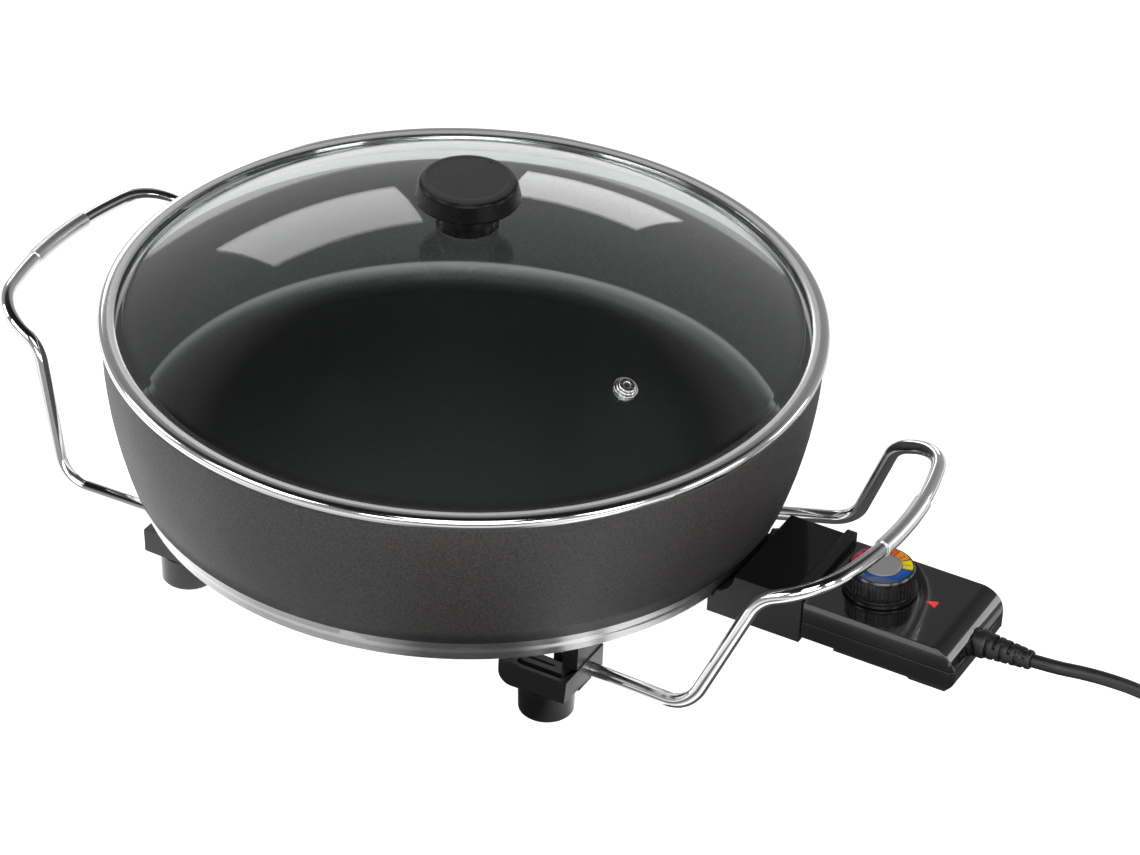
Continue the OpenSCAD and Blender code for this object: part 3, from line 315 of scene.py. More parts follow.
def fit(piece, finish, body, slot, *replaced):
    """Gives a piece its finish, the body that it moves with and the solids that it stands for."""
    piece.data.materials.clear()
    piece.data.materials.append(finish.material)
    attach(piece, body)
    if replaced:
        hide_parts(*replaced)


strap_nylon = Finish("strap_nylon", Base_Color=(0.03, 0.03, 0.032))
x, y, z = strap_nylon.axes()
weave = strap_nylon.streaks(1, 0.5, x * 3000, y * 3000, z * 9000)
strap_nylon.set("Roughness", strap_nylon.spread(weave, 0.3, 0.48))
strap_nylon.relief(weave, 0.00005, 0.4)
coil_strap = merged("cord_tie", "coil_strap", edge=0.0002)
fit(coil_strap, strap_nylon, "heat_control", "tie_plastic", "cord_tie")


# ---------------------------------------------------------------- mains plug
# Black rubber moulded round the lead's end. Two nickel-plated pins stand in it by their thinner
# roots, one each side of its axis, and a contact strip lies in each of its side grooves.
def dress(finish, *names):
    """Gives solids that keep their own mesh a finish."""
    for name in names:
        mesh = nodes[name].data
        mesh.materials.clear()
        mesh.materials.append(finish.material)


plug_rubber = Finish("plug_rubber")
scuff = plug_rubber.noise(140, 4)
plug_rubber.set("Base Color", plug_rubber.between((0.010, 0.010, 0.011), (0.022, 0.022, 0.023), scuff))
plug_rubber.set("Roughness", plug_rubber.spread(scuff, 0.4, 0.56))
plug_rubber.relief(plug_rubber.noise(2200, 3), 0.00005, 0.6)
plug_body = merged("mains_plug", "plug_body", edge=0.0006)
fit(plug_body, plug_rubber, "heat_control", "plug_rubber", "mains_plug")

pin_nickel = Finish("pin_nickel", Base_Color=(0.76, 0.74, 0.69), Metallic=1.0)
pin_nickel.set("Roughness", pin_nickel.spread(pin_nickel.noise(900, 3), 0.14, 0.26))
contact_pins = merged("plug_pins", "contact_pins", edge=0.0002)
fit(contact_pins, pin_nickel, "heat_control", "pin_nickel", "plug_pins")
cord_route[0]


# ---------------------------------------------------------------- table and lights
# A pale seamless table top and a sky that is darkest overhead. Three panes of light stand behind
# the pan, three in front, one at the left and two at the right. The lid mirrors the first two. The
# table is plain to the camera, and gives the pan's side and band light and dark to mirror.
def grey(shade):
    """A colour without a hue."""
    return (shade, shade, shade)


def away(x, y):
    """How far a place is from the upright axis at x = y = 0."""
    return (x * x + y * y) ** 0.5


def compass(x, y):
    """The bearing of a place from that axis, as a share of a full turn that starts at -X."""
    return x.maths("ARCTAN2", y, x) / math.tau + 0.5


bpy.ops.mesh.primitive_plane_add(size=14)
table = bpy.context.object
table.name = "table"
table_paint = Finish("table_paint", Roughness=0.7, Emission_Strength=1.0)
seen = Wire(table_paint, table_paint.tree.nodes.new("ShaderNodeLightPath"), "Is Camera Ray")
x, y, _ = table_paint.axes()
card_shades = (
    (0.0, 1.5), (0.06, 1.4), (0.13, 1.4), (0.2, 0.6), (0.28, 0.5), (0.31, 0.05), (0.37, 0.02),
    (0.41, 1.3), (0.46, 1.7), (0.50, 0.4), (0.58, 0.03), (0.70, 0.6), (0.9, 0.9), (1.0, 1.5),
)
card_stops = [(share, grey(shade)) for share, shade in card_shades]
cards = table_paint.node("ShaderNodeValToRGB", {"stops": card_stops}, {0: compass(x, y)})
plain_ring = table_paint.zone(away(x, y), 0.38, 0.44, 0.7, 0.9)
cards = table_paint.between(cards, grey(0.8), plain_ring)
under_control = (x > 0.17) * (y > -0.118) * (y < 0.2) * (x < 0.4)
cards = table_paint.between(cards, grey(0.04), under_control)
table_paint.set("Base Color", table_paint.between(grey(0.06), grey(0.86), seen))
table_paint.set("Emission Color", table_paint.between(cards, grey(0.80), seen))
table.data.materials.append(table_paint.material)

world = bpy.data.worlds.new("studio")
scene.world = world
world.use_nodes = True
sky = world.node_tree.nodes
link = world.node_tree.links.new
background = sky["Background"]
view_way = sky.new("ShaderNodeTexCoord")
parts = sky.new("ShaderNodeSeparateXYZ")
height = sky.new("ShaderNodeValToRGB")
sky_shades = ((0.0, 0.36), (0.40, 0.32), (0.62, 0.22), (0.72, 0.04), (0.9, 0.012), (1.0, 0.012))
for place, shade in sky_shades[1:-1]:
    height.color_ramp.elements.new(place)
for stop, (place, shade) in zip(height.color_ramp.elements, sky_shades):
    stop.color = (*grey(shade), 1)
path = sky.new("ShaderNodeLightPath")
backdrop = sky.new("ShaderNodeMix")
backdrop.data_type = "RGBA"
backdrop.inputs[7].default_value = (1, 1, 1, 1)
link(view_way.outputs["Generated"], parts.inputs[0])
link(parts.outputs["Z"], height.inputs[0])
link(height.outputs[0], backdrop.inputs[6])
link(path.outputs["Is Camera Ray"], backdrop.inputs[0])
link(backdrop.outputs[2], background.inputs[0])
background.inputs[1].default_value = 1.0


pan_middle = 0.12


def light_pane(name, bearing_deg, rise_deg, distance, width, height, radiance):
    """A rectangular light that faces the middle of the pan from a compass bearing and a rise."""
    flat = math.radians(bearing_deg)
    rise = math.radians(rise_deg)
    level = math.cos(rise)
    place = Vector((math.cos(flat) * level, math.sin(flat) * level, math.sin(rise))) * distance
    light = bpy.data.lights.new(name, "AREA")
    light.shape = "RECTANGLE"
    light.size = width
    light.size_y = height
    light.energy = radiance * math.pi * width * height
    lamp = bpy.data.objects.new(name, light)
    lamp.location = place + Vector((0, 0, pan_middle))
    lamp.rotation_euler = (-place).to_track_quat("-Z", "Y").to_euler()
    scene.collection.objects.link(lamp)


light_pane("back_left", 136, 23, 3.0, 1.0, 0.85, 1.6)
light_pane("back_right", 108, 12, 3.2, 0.75, 0.75, 1.7)
light_pane("front_high", -61, 58, 2.6, 1.1, 1.0, 3)
light_pane("front", -61, 27, 2.6, 2.4, 0.6, 6.2)
light_pane("front_left", -125, 36, 2.6, 1.3, 1.2, 4)
light_pane("front_right", -15, 30, 2.8, 0.7, 1.2, 4)
light_pane("left", 196, 22, 2.6, 0.9, 0.85, 4.6)
light_pane("right", 15, 12, 2.6, 0.9, 0.7, 4.6)
light_pane("back_low", 48, 12, 2.8, 0.9, 0.8, 2.5)


# ---------------------------------------------------------------- cast pan
# Cast aluminium with a dark non-stick coating inside and out. The coating stops above the foot
# of the side, where a bright band and the underside are turned bare.
pan_radius, side_bow, wall_split = 0.198, 0.262, 0.0022
rim_level, band_top, floor_split = 0.1525, 0.0701, 0.0585
floor_shade_to, plain_from = 0.0642, 0.0720
pan_coating = Finish("pan_coating", Coat_Roughness=0.35)
x, y, z = pan_coating.axes()
reach = away(x, y)
outer = (side_bow ** 2 - (rim_level - z) ** 2) ** 0.5 - (side_bow - pan_radius)
inside = (reach < outer - wall_split) * (z > floor_split)
bare = (z < band_top) * (1 - inside)
lathe = pan_coating.streaks(3, 0.6, reach * 2600, 0, z * 2600)
grain = pan_coating.stretch(pan_coating.noise(800, 4, 0.65), 0.34, 0.66)
cloud = pan_coating.noise(16, 3)
fleck = pan_coating.stretch(pan_coating.noise(1100, 1), 0.66, 0.74)
outside_tone = pan_coating.between((0.017, 0.0158, 0.015), (0.050, 0.0475, 0.0458), grain)
inside_tone = pan_coating.between(grey(0.008), (0.040, 0.040, 0.041), grain)
# Painted shade: the inside floor is painted nearly black below z 0.0642 and fades back to the coating's
# tone by z 0.0720, for the shade that the walls cast on it.
painted_floor_shade = pan_coating.between(grey(0.001), grey(0.006), grain)
inside_tone = pan_coating.between(painted_floor_shade, inside_tone, pan_coating.stretch(z, floor_shade_to, plain_from))
inside_tone = pan_coating.between(inside_tone, (0.03, 0.03, 0.031), fleck)
# Painted highlight: a pale ring is painted round the inside between z 0.070 and 0.078, where light
# catches the curve above the floor's fillet.
painted_highlight_ring = pan_coating.zone(z, 0.0700, 0.0752, 0.0766, 0.0780)
inside_tone = pan_coating.between(inside_tone, (0.26, 0.26, 0.256), painted_highlight_ring * painted_highlight_ring)
coat_tone = pan_coating.between(outside_tone, inside_tone, inside)
metal_tone = pan_coating.between((0.66, 0.66, 0.67), (0.86, 0.86, 0.87), lathe)
pan_coating.set("Base Color", pan_coating.between(coat_tone, metal_tone, bare))
pan_coating.set("Metallic", bare)
coat_rough = pan_coating.spread(cloud, 0.46, 0.54) - inside * 0.18
pan_coating.set("Roughness", coat_rough * (1 - bare) + bare * pan_coating.spread(lathe, 0.24, 0.36))
pan_coating.relief(grain * (1 - bare) + lathe * bare * 0.5, 0.00009, 0.8)
cast_pan = merged("pan", "cast_pan", corner=40)
fit(cast_pan, pan_coating, "skillet", "coated_aluminium", "pan")


# ---------------------------------------------------------------- element
# A steel-sheathed heating element lies half sunk in a rib under the base. Its cold ends leave
# through ceramic beads, and a steel sleeve between them takes the heat control's sensor.
element_steel = Finish("element_steel", Metallic=1.0)
heat = element_steel.noise(22, 3)
element_steel.set("Base Color", element_steel.between((0.30, 0.27, 0.25), (0.46, 0.38, 0.28), heat))
element_steel.set("Roughness", element_steel.spread(heat, 0.32, 0.5))
element_steel.relief(element_steel.noise(1800, 3), 0.00004, 0.5)
dress(element_steel, "heating_element")

bead_ceramic = Finish("bead_ceramic", Roughness=0.6)
glaze = bead_ceramic.noise(400, 3)
bead_ceramic.set("Base Color", bead_ceramic.between((0.70, 0.66, 0.58), (0.80, 0.77, 0.70), glaze))
bead_ceramic.relief(bead_ceramic.noise(3000, 3), 0.00003, 0.6)
dress(bead_ceramic, "terminal_beads")

drawn_steel = Finish("drawn_steel", Metallic=1.0)
x, y, z = drawn_steel.axes()
draw_lines = drawn_steel.streaks(2, 0.5, x * 60, y * 4000, z * 4000)
drawn_steel.set("Base Color", drawn_steel.between(grey(0.58), (0.74, 0.74, 0.75), draw_lines))
drawn_steel.set("Roughness", drawn_steel.spread(draw_lines, 0.2, 0.36))
dress(drawn_steel, "sensor_sleeve", "sensor_rod", "dial_shaft")


# ---------------------------------------------------------------- socket shroud
# A black phenolic moulding screwed under the pan's base. It guards the terminal pins and takes
# the nose of the heat control. Its top is polished, and its sides are left as moulded.
shroud_phenolic = Finish("shroud_phenolic", Specular_IOR_Level=0.4)
polish_low, polish_high, polish_start = 0.0717, 0.0731, 0.180
x, _, z = shroud_phenolic.axes()
polished = (z > polish_low) * (z < polish_high) * (x > polish_start)
skin = shroud_phenolic.noise(1900, 3)
swirl = shroud_phenolic.noise(60, 3)
as_moulded = shroud_phenolic.between((0.010, 0.010, 0.0105), (0.016, 0.016, 0.0165), swirl)
shroud_phenolic.set("Base Color", shroud_phenolic.between(as_moulded, (0.0035, 0.0035, 0.004), polished))
moulded_rough = shroud_phenolic.spread(swirl, 0.4, 0.5)
shroud_phenolic.set("Roughness", (1 - polished) * moulded_rough + polished * 0.1)
shroud_phenolic.relief(skin * (1 - polished), 0.00006, 0.6)
pin_shroud = merged("socket_shroud", "pin_shroud", edge=0.00045)
fit(pin_shroud, shroud_phenolic, "skillet", "phenolic", "socket_shroud")

zinc_plate = Finish("zinc_plate", Metallic=1.0)
patch = zinc_plate.noise(500, 3)
zinc_plate.set("Base Color", zinc_plate.between((0.52, 0.53, 0.54), (0.68, 0.69, 0.70), patch))
zinc_plate.set("Roughness", zinc_plate.spread(patch, 0.24, 0.42))
dress(zinc_plate, "shroud_screws", "foot_screws", "rod_clamp_screws", "case_screws", "knob_screw")


# ---------------------------------------------------------------- feet
# Each foot is a satin black phenolic block with an arm screwed to the pan, and a round glossy
# pad that one screw holds under it.
block_phenolic = Finish("foot_phenolic")
speckle = block_phenolic.noise(1700, 3)
block_tone = block_phenolic.between((0.005, 0.005, 0.0055), (0.010, 0.010, 0.0105), speckle)
block_phenolic.set("Base Color", block_tone)
block_phenolic.set("Roughness", block_phenolic.spread(block_phenolic.noise(70, 3), 0.30, 0.40))
block_phenolic.relief(speckle, 0.00004, 0.6)
pad_phenolic = Finish(
    "pad_phenolic", Base_Color=(0.002, 0.002, 0.0022), Coat_Weight=0.2, Coat_Roughness=0.05,
)
_, _, z = pad_phenolic.axes()
worn = pad_phenolic.stretch(z, 0.0008, 0.003, 1.0, 0.0)
pad_phenolic.set("Roughness", pad_phenolic.spread(pad_phenolic.noise(80, 3), 0.12, 0.2) + worn * 0.3)
pad_phenolic.relief(pad_phenolic.noise(900, 2), 0.00002, 0.4)
for corner in ("front_right", "back_right", "front_left", "back_left"):
    block = merged("foot_block_" + corner, "block_" + corner, edge=0.0004, shortest=0.00036)
    fit(block, block_phenolic, "skillet", "phenolic", "foot_block_" + corner)
    pad = merged("foot_pad_" + corner, "pad_" + corner, edge=0.0005)
    fit(pad, pad_phenolic, "skillet", "foot_plastic", "foot_pad_" + corner)


# ---------------------------------------------------------------- handles
# Each handle is one steel rod of 8 mm, bent to its path and chromed. Its ends are clamped in
# two foot blocks. A close steel sleeve covers the middle of the grip.
class Tree:
    """A Geometry Nodes tree with named inputs for the sizes of what it makes."""

    def __init__(self, name, sizes):
        self.group = bpy.data.node_groups.new(name, "GeometryNodeTree")
        self.group.interface.new_socket("Geometry", in_out="INPUT", socket_type="NodeSocketGeometry")
        self.group.interface.new_socket("Geometry", in_out="OUTPUT", socket_type="NodeSocketGeometry")
        kinds = {float: "NodeSocketFloat", int: "NodeSocketInt"}
        self.keys = {}
        for size, value in sizes.items():
            kind = kinds[type(value)]
            socket = self.group.interface.new_socket(size, in_out="INPUT", socket_type=kind)
            self.keys[size] = (socket.identifier, value)
        self.start = self.group.nodes.new("NodeGroupInput")
        self.end = self.group.nodes.new("NodeGroupOutput")

    def step(self, kind, settings=None, **inputs):
        """A new node with its settings made and its inputs joined."""
        node = self.group.nodes.new(kind)
        for key, value in (settings or {}).items():
            setattr(node, key, value)
        for key, value in inputs.items():
            self.join(value, node.inputs[key.replace("_", " ")])
        return node

    def join(self, value, socket):
        """Joins a socket to a named size, to a node or to another socket, or gives it a value."""
        if isinstance(value, str):
            self.group.links.new(self.start.outputs[value], socket)
        elif isinstance(value, bpy.types.Node):
            self.group.links.new(value.outputs[0], socket)
        elif isinstance(value, bpy.types.NodeSocket):
            self.group.links.new(value, socket)
        else:
            socket.default_value = value

    def make(self, piece, last, finish, corner=35):
        """Ends the tree, runs it on the piece and keeps the plain mesh."""
        real = self.step("GeometryNodeRealizeInstances", None, Geometry=last)
        painted = self.step("GeometryNodeSetMaterial", None, Geometry=real, Material=finish.material)
        self.join(painted, self.end.inputs[0])
        modifier = piece.modifiers.new("build", "NODES")
        modifier.node_group = self.group
        for key, value in self.keys.values():
            modifier[key] = value
        settle(piece, corner)


def path_object(name, points, bends):
    """A run of straight edges that carries the radius of each bend."""
    mesh = bpy.data.meshes.new(name)
    mesh.from_pydata(points, [(i, i + 1) for i in range(len(points) - 1)], [])
    bend = mesh.attributes.new("bend", "FLOAT", "POINT")
    bend.data.foreach_set("value", bends)
    piece = bpy.data.objects.new(name, mesh)
    scene.collection.objects.link(piece)
    return piece


rod_radius = 0.004
grip_out, grip_bow, grip_half, grip_level = 0.257, 0.020, 0.078, 0.116
corner_bend, rod_bend = 0.033, 0.022
rod_y, rod_level, rod_in_block = 0.08863, 0.024, 0.0175
block_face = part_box("foot_block_back_right")[1][0]
half_path = [
    Vector((block_face - rod_in_block, rod_y, rod_level)),
    Vector((block_face + 0.005, rod_y, rod_level)),
    Vector((0.198, grip_half + 0.023, rod_level + 0.009)),
    Vector((grip_out - 0.031, grip_half + 0.005, grip_level - 0.013)),
    Vector((grip_out, grip_half, grip_level)),
]
bow_point = Vector((grip_out + grip_bow, 0, grip_level))
to_corner = (half_path[3] - half_path[4]).normalized()
to_bow = (bow_point - half_path[4]).normalized()
corner_room = corner_bend * math.tan((math.pi - to_corner.angle(to_bow)) / 2)
straight_left = 0.0015
bow_bend = ((bow_point - half_path[4]).length - corner_room - straight_left) * grip_half / grip_bow
rod_path = half_path + [bow_point] + [Vector((p.x, -p.y, p.z)) for p in reversed(half_path)]
half_bends = [0, rod_bend, rod_bend, rod_bend, corner_bend]
rod_bends = half_bends + [bow_bend] + half_bends[::-1]

chrome = Finish("handle_chrome", Base_Color=(0.86, 0.865, 0.87), Metallic=1.0)
smear = chrome.noise(45, 4)
chrome.set("Roughness", chrome.stretch(smear, 0.35, 0.75, 0.035, 0.11))
sleeve_metal = Finish("sleeve_metal", Metallic=1.0)
x, y, z = sleeve_metal.axes()
spin_lines = sleeve_metal.streaks(2, 0.5, x * 90, y * 3000, z * 90)
sleeve_metal.set("Base Color", sleeve_metal.between(grey(0.80), grey(0.94), spin_lines))
sleeve_metal.set("Roughness", sleeve_metal.spread(spin_lines, 0.26, 0.40))
for side, sign in (("right", 1), ("left", -1)):
    rod = path_object("rod_" + side, [(p.x * sign, p.y, p.z) for p in rod_path], rod_bends)
    tree = Tree("bent_rod_" + side, {"Rod radius": rod_radius, "Steps per bend": 14, "Sides": 28})
    line = tree.step("GeometryNodeMeshToCurve", None, Mesh="Geometry")
    radius = tree.step("GeometryNodeInputNamedAttribute", {"data_type": "FLOAT"})
    radius.inputs["Name"].default_value = "bend"
    bent = tree.step("GeometryNodeFilletCurve", {"mode": "POLY"}, Curve=line, Radius=radius)
    tree.join("Steps per bend", bent.inputs["Count"])
    ring = tree.step("GeometryNodeCurvePrimitiveCircle", None, Resolution="Sides", Radius="Rod radius")
    bar = tree.step("GeometryNodeCurveToMesh", None, Curve=bent, Fill_Caps=True, Profile_Curve=ring)
    smooth = tree.step("GeometryNodeSetShadeSmooth", None, Geometry=bar)
    tree.make(rod, smooth, chrome)
    fit(rod, chrome, "skillet", "handle_chrome", "handle_" + side)
    sleeve = merged("sleeve_" + side, "grip_sleeve_" + side, edge=0.00025)
    fit(sleeve, sleeve_metal, "skillet", "sleeve_steel", "sleeve_" + side)


# ---------------------------------------------------------------- lid glass
# A pane of clear tempered glass, domed in a press and ground flat at its edge. It has one hole
# for the knob's screw and one for the steam vent.
lid_clear = Finish("lid_clear", Base_Color=(0.95, 0.975, 0.965), Transmission_Weight=1.0, IOR=1.5)
lid_clear.set("Roughness", lid_clear.stretch(lid_clear.noise(14, 4), 0.45, 0.8, 0.0, 0.05))
open_way = lid_clear.node("ShaderNodeBsdfTransparent", None, {0: (0.93, 0.95, 0.945)})
lamp_ray = Wire(lid_clear, lid_clear.tree.nodes.new("ShaderNodeLightPath"), "Is Shadow Ray")
pane_ray = Wire(lid_clear, lid_clear.shader)
glass_look = lid_clear.node("ShaderNodeMixShader", None, {0: lamp_ray, 1: pane_ray, 2: open_way})
lid_clear.tree.links.new(glass_look.socket, lid_clear.output.inputs[0])


def turned(name, profile, finish, sides, corner=35):
    """A closed outline of (radius, height) points turned round the pan's axis.

    The outline is swept along a circle of the track's radius, so it is drawn from there."""
    track = 0.1
    count = len(profile)
    corners = [(r - track, -h, 0) for r, h in profile]
    mesh = bpy.data.meshes.new(name)
    mesh.from_pydata(corners, [(i, (i + 1) % count) for i in range(count)], [])
    piece = bpy.data.objects.new(name, mesh)
    scene.collection.objects.link(piece)
    tree = Tree(name + "_lathe", {"Sides": sides, "Track radius": track})
    outline = tree.step("GeometryNodeMeshToCurve", None, Mesh="Geometry")
    way = tree.step("GeometryNodeCurvePrimitiveCircle", None, Resolution="Sides", Radius="Track radius")
    skin = tree.step("GeometryNodeCurveToMesh", None, Curve=way, Profile_Curve=outline)
    smooth = tree.step("GeometryNodeSetShadeSmooth", None, Geometry=skin)
    tree.make(piece, smooth, finish, corner)
    work = bmesh.new()
    work.from_mesh(piece.data)
    bmesh.ops.remove_doubles(work, verts=work.verts, dist=1e-6)
    bmesh.ops.recalc_face_normals(work, faces=work.faces)
    work.to_mesh(piece.data)
    work.free()
    return piece


def arc(r, h, radius, start, end, steps=8):
    """Points on an arc of an outline, with its angles in degrees."""
    angles = [math.radians(start + (end - start) * i / steps) for i in range(steps + 1)]
    return [(r + radius * math.cos(a), h + radius * math.sin(a)) for a in angles]


round_sides, dome_steps = 256, 48
dome_radius, dome_middle, glass_thick = 0.337557, -0.124057, 0.0035
margin_in, margin_out, margin_low, screw_hole = 0.1862, 0.1922, 0.1540, 0.0040
bend_in, bend_out, bend_top, ground = 0.1851, 0.1857, 0.0006, 0.0004
vent_bearing, vent_tilt, vent_bore = math.radians(-23), math.radians(24.3168), 0.00415


def dome_arc(radius, r_from, r_to):
    """Points on a skin of the dome between two distances from the axis."""
    start, end = (math.degrees(math.acos(r / radius)) for r in (r_from, r_to))
    return arc(0, dome_middle, radius, start, end, dome_steps)


margin_top = margin_low + glass_thick
dome_outline = dome_arc(dome_radius, margin_in, screw_hole)
dome_outline += dome_arc(dome_radius - glass_thick, screw_hole, bend_in)
dome_outline += [(bend_out, margin_low), (margin_out - ground, margin_low)]
dome_outline += [(margin_out, margin_low + ground)]
dome_outline += [(margin_out, margin_top - ground), (margin_out - ground, margin_top)]
dome_outline += [(margin_in + bend_top, margin_top)]
dome = turned("glass_dome", dome_outline, lid_clear, round_sides)
vent_way = Matrix.Rotation(vent_bearing, 4, "Z") @ Matrix.Translation((0, 0, dome_middle))
vent_way = vent_way @ Matrix.Rotation(vent_tilt, 4, "Y") @ Matrix.Translation((0, 0, dome_radius))
bpy.ops.mesh.primitive_cylinder_add(vertices=64, radius=vent_bore, depth=0.02)
drill = bpy.context.object
drill.matrix_world = vent_way
boring = dome.modifiers.new("boring", "BOOLEAN")
boring.object = drill
boring.solver = "EXACT"
settle(dome)
bpy.data.objects.remove(drill)
fit(dome, lid_clear, "lid", "lid_glass", "lid_glass")


# ---------------------------------------------------------------- lid rim
# A ring rolled from stainless steel strip, crimped round the edge of the glass and polished.
# Its inner skirt drops into the pan and keeps the lid in place.
rim_in, rim_out, rim_low, rim_high = 0.1902, 0.2, 0.1528, 0.1592
skirt_low, skirt_wall, low_round, high_round = 0.1438, 0.0011, 0.0026, 0.0034
slot_low, slot_high, slot_back = 0.15385, 0.15765, rim_in + 0.00215
rim_steel = Finish("rim_steel")
x, y, z = rim_steel.axes()
reach = away(x, y)
polish = rim_steel.streaks(2, 0.5, reach * 2400, 0, z * 2400)
# Painted reflection: the inner skirt and the inner edge of the top are made paler, less metallic and
# rougher, so they show a pale band that stands in for a reflection in the polished steel.
painted_pale_skirt = rim_steel.stretch(z, 0.1500, 0.1512, 1.0, 0.0)
painted_pale_crown = rim_steel.stretch(z, 0.1585, 0.1590) * rim_steel.stretch(reach, 0.1940, 0.1950, 1.0, 0.0)
rim_steel.set("Base Color", rim_steel.between((0.82, 0.825, 0.83), (0.88, 0.88, 0.87), painted_pale_crown + painted_pale_skirt))
rim_steel.set("Metallic", 1.0 - (painted_pale_skirt * 0.7 + painted_pale_crown * 0.4))
rim_steel.set("Roughness", rim_steel.spread(polish, 0.06, 0.12) + (painted_pale_skirt + painted_pale_crown) * 0.25)
rim_steel.relief(polish, 0.00001, 0.4)
rim_outline = [(rim_in, skirt_low), (rim_in + skirt_wall, skirt_low), (rim_in + skirt_wall, rim_low)]
rim_outline += arc(rim_out - low_round, rim_low + low_round, low_round, -90, 0)
rim_outline += arc(rim_out - high_round, rim_high - high_round, high_round, 5, 80)
rim_outline += [(0.1956, rim_high), (0.1925, rim_high - 0.0001), (0.1912, rim_high - 0.0004)]
rim_outline += [(0.1905, rim_high - 0.0010), (0.1904, slot_high)]
rim_outline += [(slot_back, slot_high), (slot_back, slot_low), (rim_in, slot_low)]
rolled_rim = turned("rolled_rim", rim_outline, rim_steel, round_sides)
fit(rolled_rim, rim_steel, "lid", "lid_steel", "lid_rim")


# ---------------------------------------------------------------- knob
# A satin black phenolic knob, waisted under its cap for the fingers. A screw from below draws
# it onto a fibre washer, through a brass bush moulded into its stem.
knob_satin = Finish("knob_satin", Specular_IOR_Level=0.14)
_, _, z = knob_satin.axes()
cap_face = knob_satin.stretch(z, 0.2418, 0.2428)
handled = knob_satin.noise(500, 4)
# Painted light: the cap's top face is painted grey, far lighter than the near-black sides, for the light
# that falls on it from above.
painted_lit_face_tone = knob_satin.between(grey(0.035), grey(0.065), handled)
knob_satin.set("Base Color", knob_satin.between((0.003, 0.003, 0.0032), painted_lit_face_tone, cap_face))
knob_satin.set("Roughness", knob_satin.spread(handled, 0.24, 0.32) + cap_face * 0.12)
knob_satin.relief(knob_satin.noise(1600, 3) * cap_face, 0.00004, 0.6)
lift_knob = merged("lid_knob", "lift_knob", edge=0.0005, steps=3, shortest=0.00045)
fit(lift_knob, knob_satin, "lid", "knob_phenolic", "lid_knob")

turned_brass = Finish("turned_brass", Metallic=1.0)
tarnish = turned_brass.noise(300, 3)
turned_brass.set("Base Color", turned_brass.between((0.58, 0.42, 0.17), (0.78, 0.62, 0.32), tarnish))
turned_brass.set("Roughness", turned_brass.spread(tarnish, 0.18, 0.34))
dress(turned_brass, "knob_bush", "contact_sockets", "switch_blade")

washer_fibre = Finish("washer_fibre", Roughness=0.8)
strands = washer_fibre.noise(900, 5, 0.7)
washer_fibre.set("Base Color", washer_fibre.between((0.02, 0.018, 0.016), (0.06, 0.055, 0.05), strands))
washer_fibre.relief(strands, 0.00006, 0.7)
dress(washer_fibre, "knob_washer")
dress(rim_steel, "screw_washer")


# ---------------------------------------------------------------- steam vent
# A stepped steel eyelet that is put through the glass from above and closed by a ring from
# below. The steam leaves by its bore.
vent_steel = Finish("vent_steel", Base_Color=(0.84, 0.84, 0.83), Metallic=1.0)
vent_steel.set("Roughness", vent_steel.spread(vent_steel.noise(700, 3), 0.20, 0.30))
steam_bore, tube_radius, tube_end = 0.0018, 0.0040, -0.0049
seat, step_round, mouth_round = 0.0001, 0.0004, 0.0005
eyelet_steps = ((0.0066, seat, 0.0012), (0.0054, 0.0012, 0.0023), (0.0044, 0.0023, 0.0035))
eyelet_outline = [(steam_bore, tube_end), (tube_radius, tube_end), (tube_radius, seat), (0.0064, seat)]
for step_r, step_low, step_high in eyelet_steps:
    eyelet_outline += [(step_r, step_low + 0.0002)]
    eyelet_outline += arc(step_r - step_round, step_high - step_round, step_round, 0, 90, 4)
eyelet_outline += arc(steam_bore + mouth_round, 0.0030, mouth_round, 90, 180, 4)
eyelet = turned("eyelet", eyelet_outline, vent_steel, 64)
eyelet.data.transform(vent_way)
fit(eyelet, vent_steel, "lid", "vent_steel", "vent_eyelet")
dress(vent_steel, "vent_back_ring")


# ---------------------------------------------------------------- housing
# Two glossy black shells of the heat control, parted at half height and held by four screws
# from below.
case_gloss = Finish("case_gloss", Base_Color=(0.0045, 0.0046, 0.005), Coat_Roughness=0.03)
_, _, z = case_gloss.axes()
flow = case_gloss.noise(30, 3)
under_level = 0.0480
under = z < under_level
case_gloss.set("Coat Weight", 1 - under)
case_gloss.set("Roughness", case_gloss.spread(flow, 0.10, 0.17) + under * 0.3)
case_gloss.relief(case_gloss.noise(260, 2), 0.00001, 0.35)
shell_top = merged("case_upper", "shell_top", edge=0.0006, steps=3)
fit(shell_top, case_gloss, "heat_control", "case_plastic", "case_upper")
shell_base = merged("case_lower", "shell_base", edge=0.0004)
fit(shell_base, case_gloss, "heat_control", "case_plastic", "case_lower")


# ---------------------------------------------------------------- contacts and switch
# A dark phenolic block holds two brass sockets and the sensor. Behind it a bimetal blade and a
# sprung blade with silver contacts stand on a plated frame, and a clamp grips the lead.
contact_phenolic = Finish("contact_phenolic")
filler = contact_phenolic.noise(800, 4, 0.6)
brown = contact_phenolic.between((0.035, 0.014, 0.009), (0.075, 0.032, 0.020), filler)
contact_phenolic.set("Base Color", brown)
contact_phenolic.set("Roughness", contact_phenolic.spread(filler, 0.38, 0.55))
contact_phenolic.relief(filler, 0.00004, 0.5)
plug_nose = merged("contact_block", "plug_nose", edge=0.0005)
fit(plug_nose, contact_phenolic, "heat_control", "block_phenolic", "contact_block")

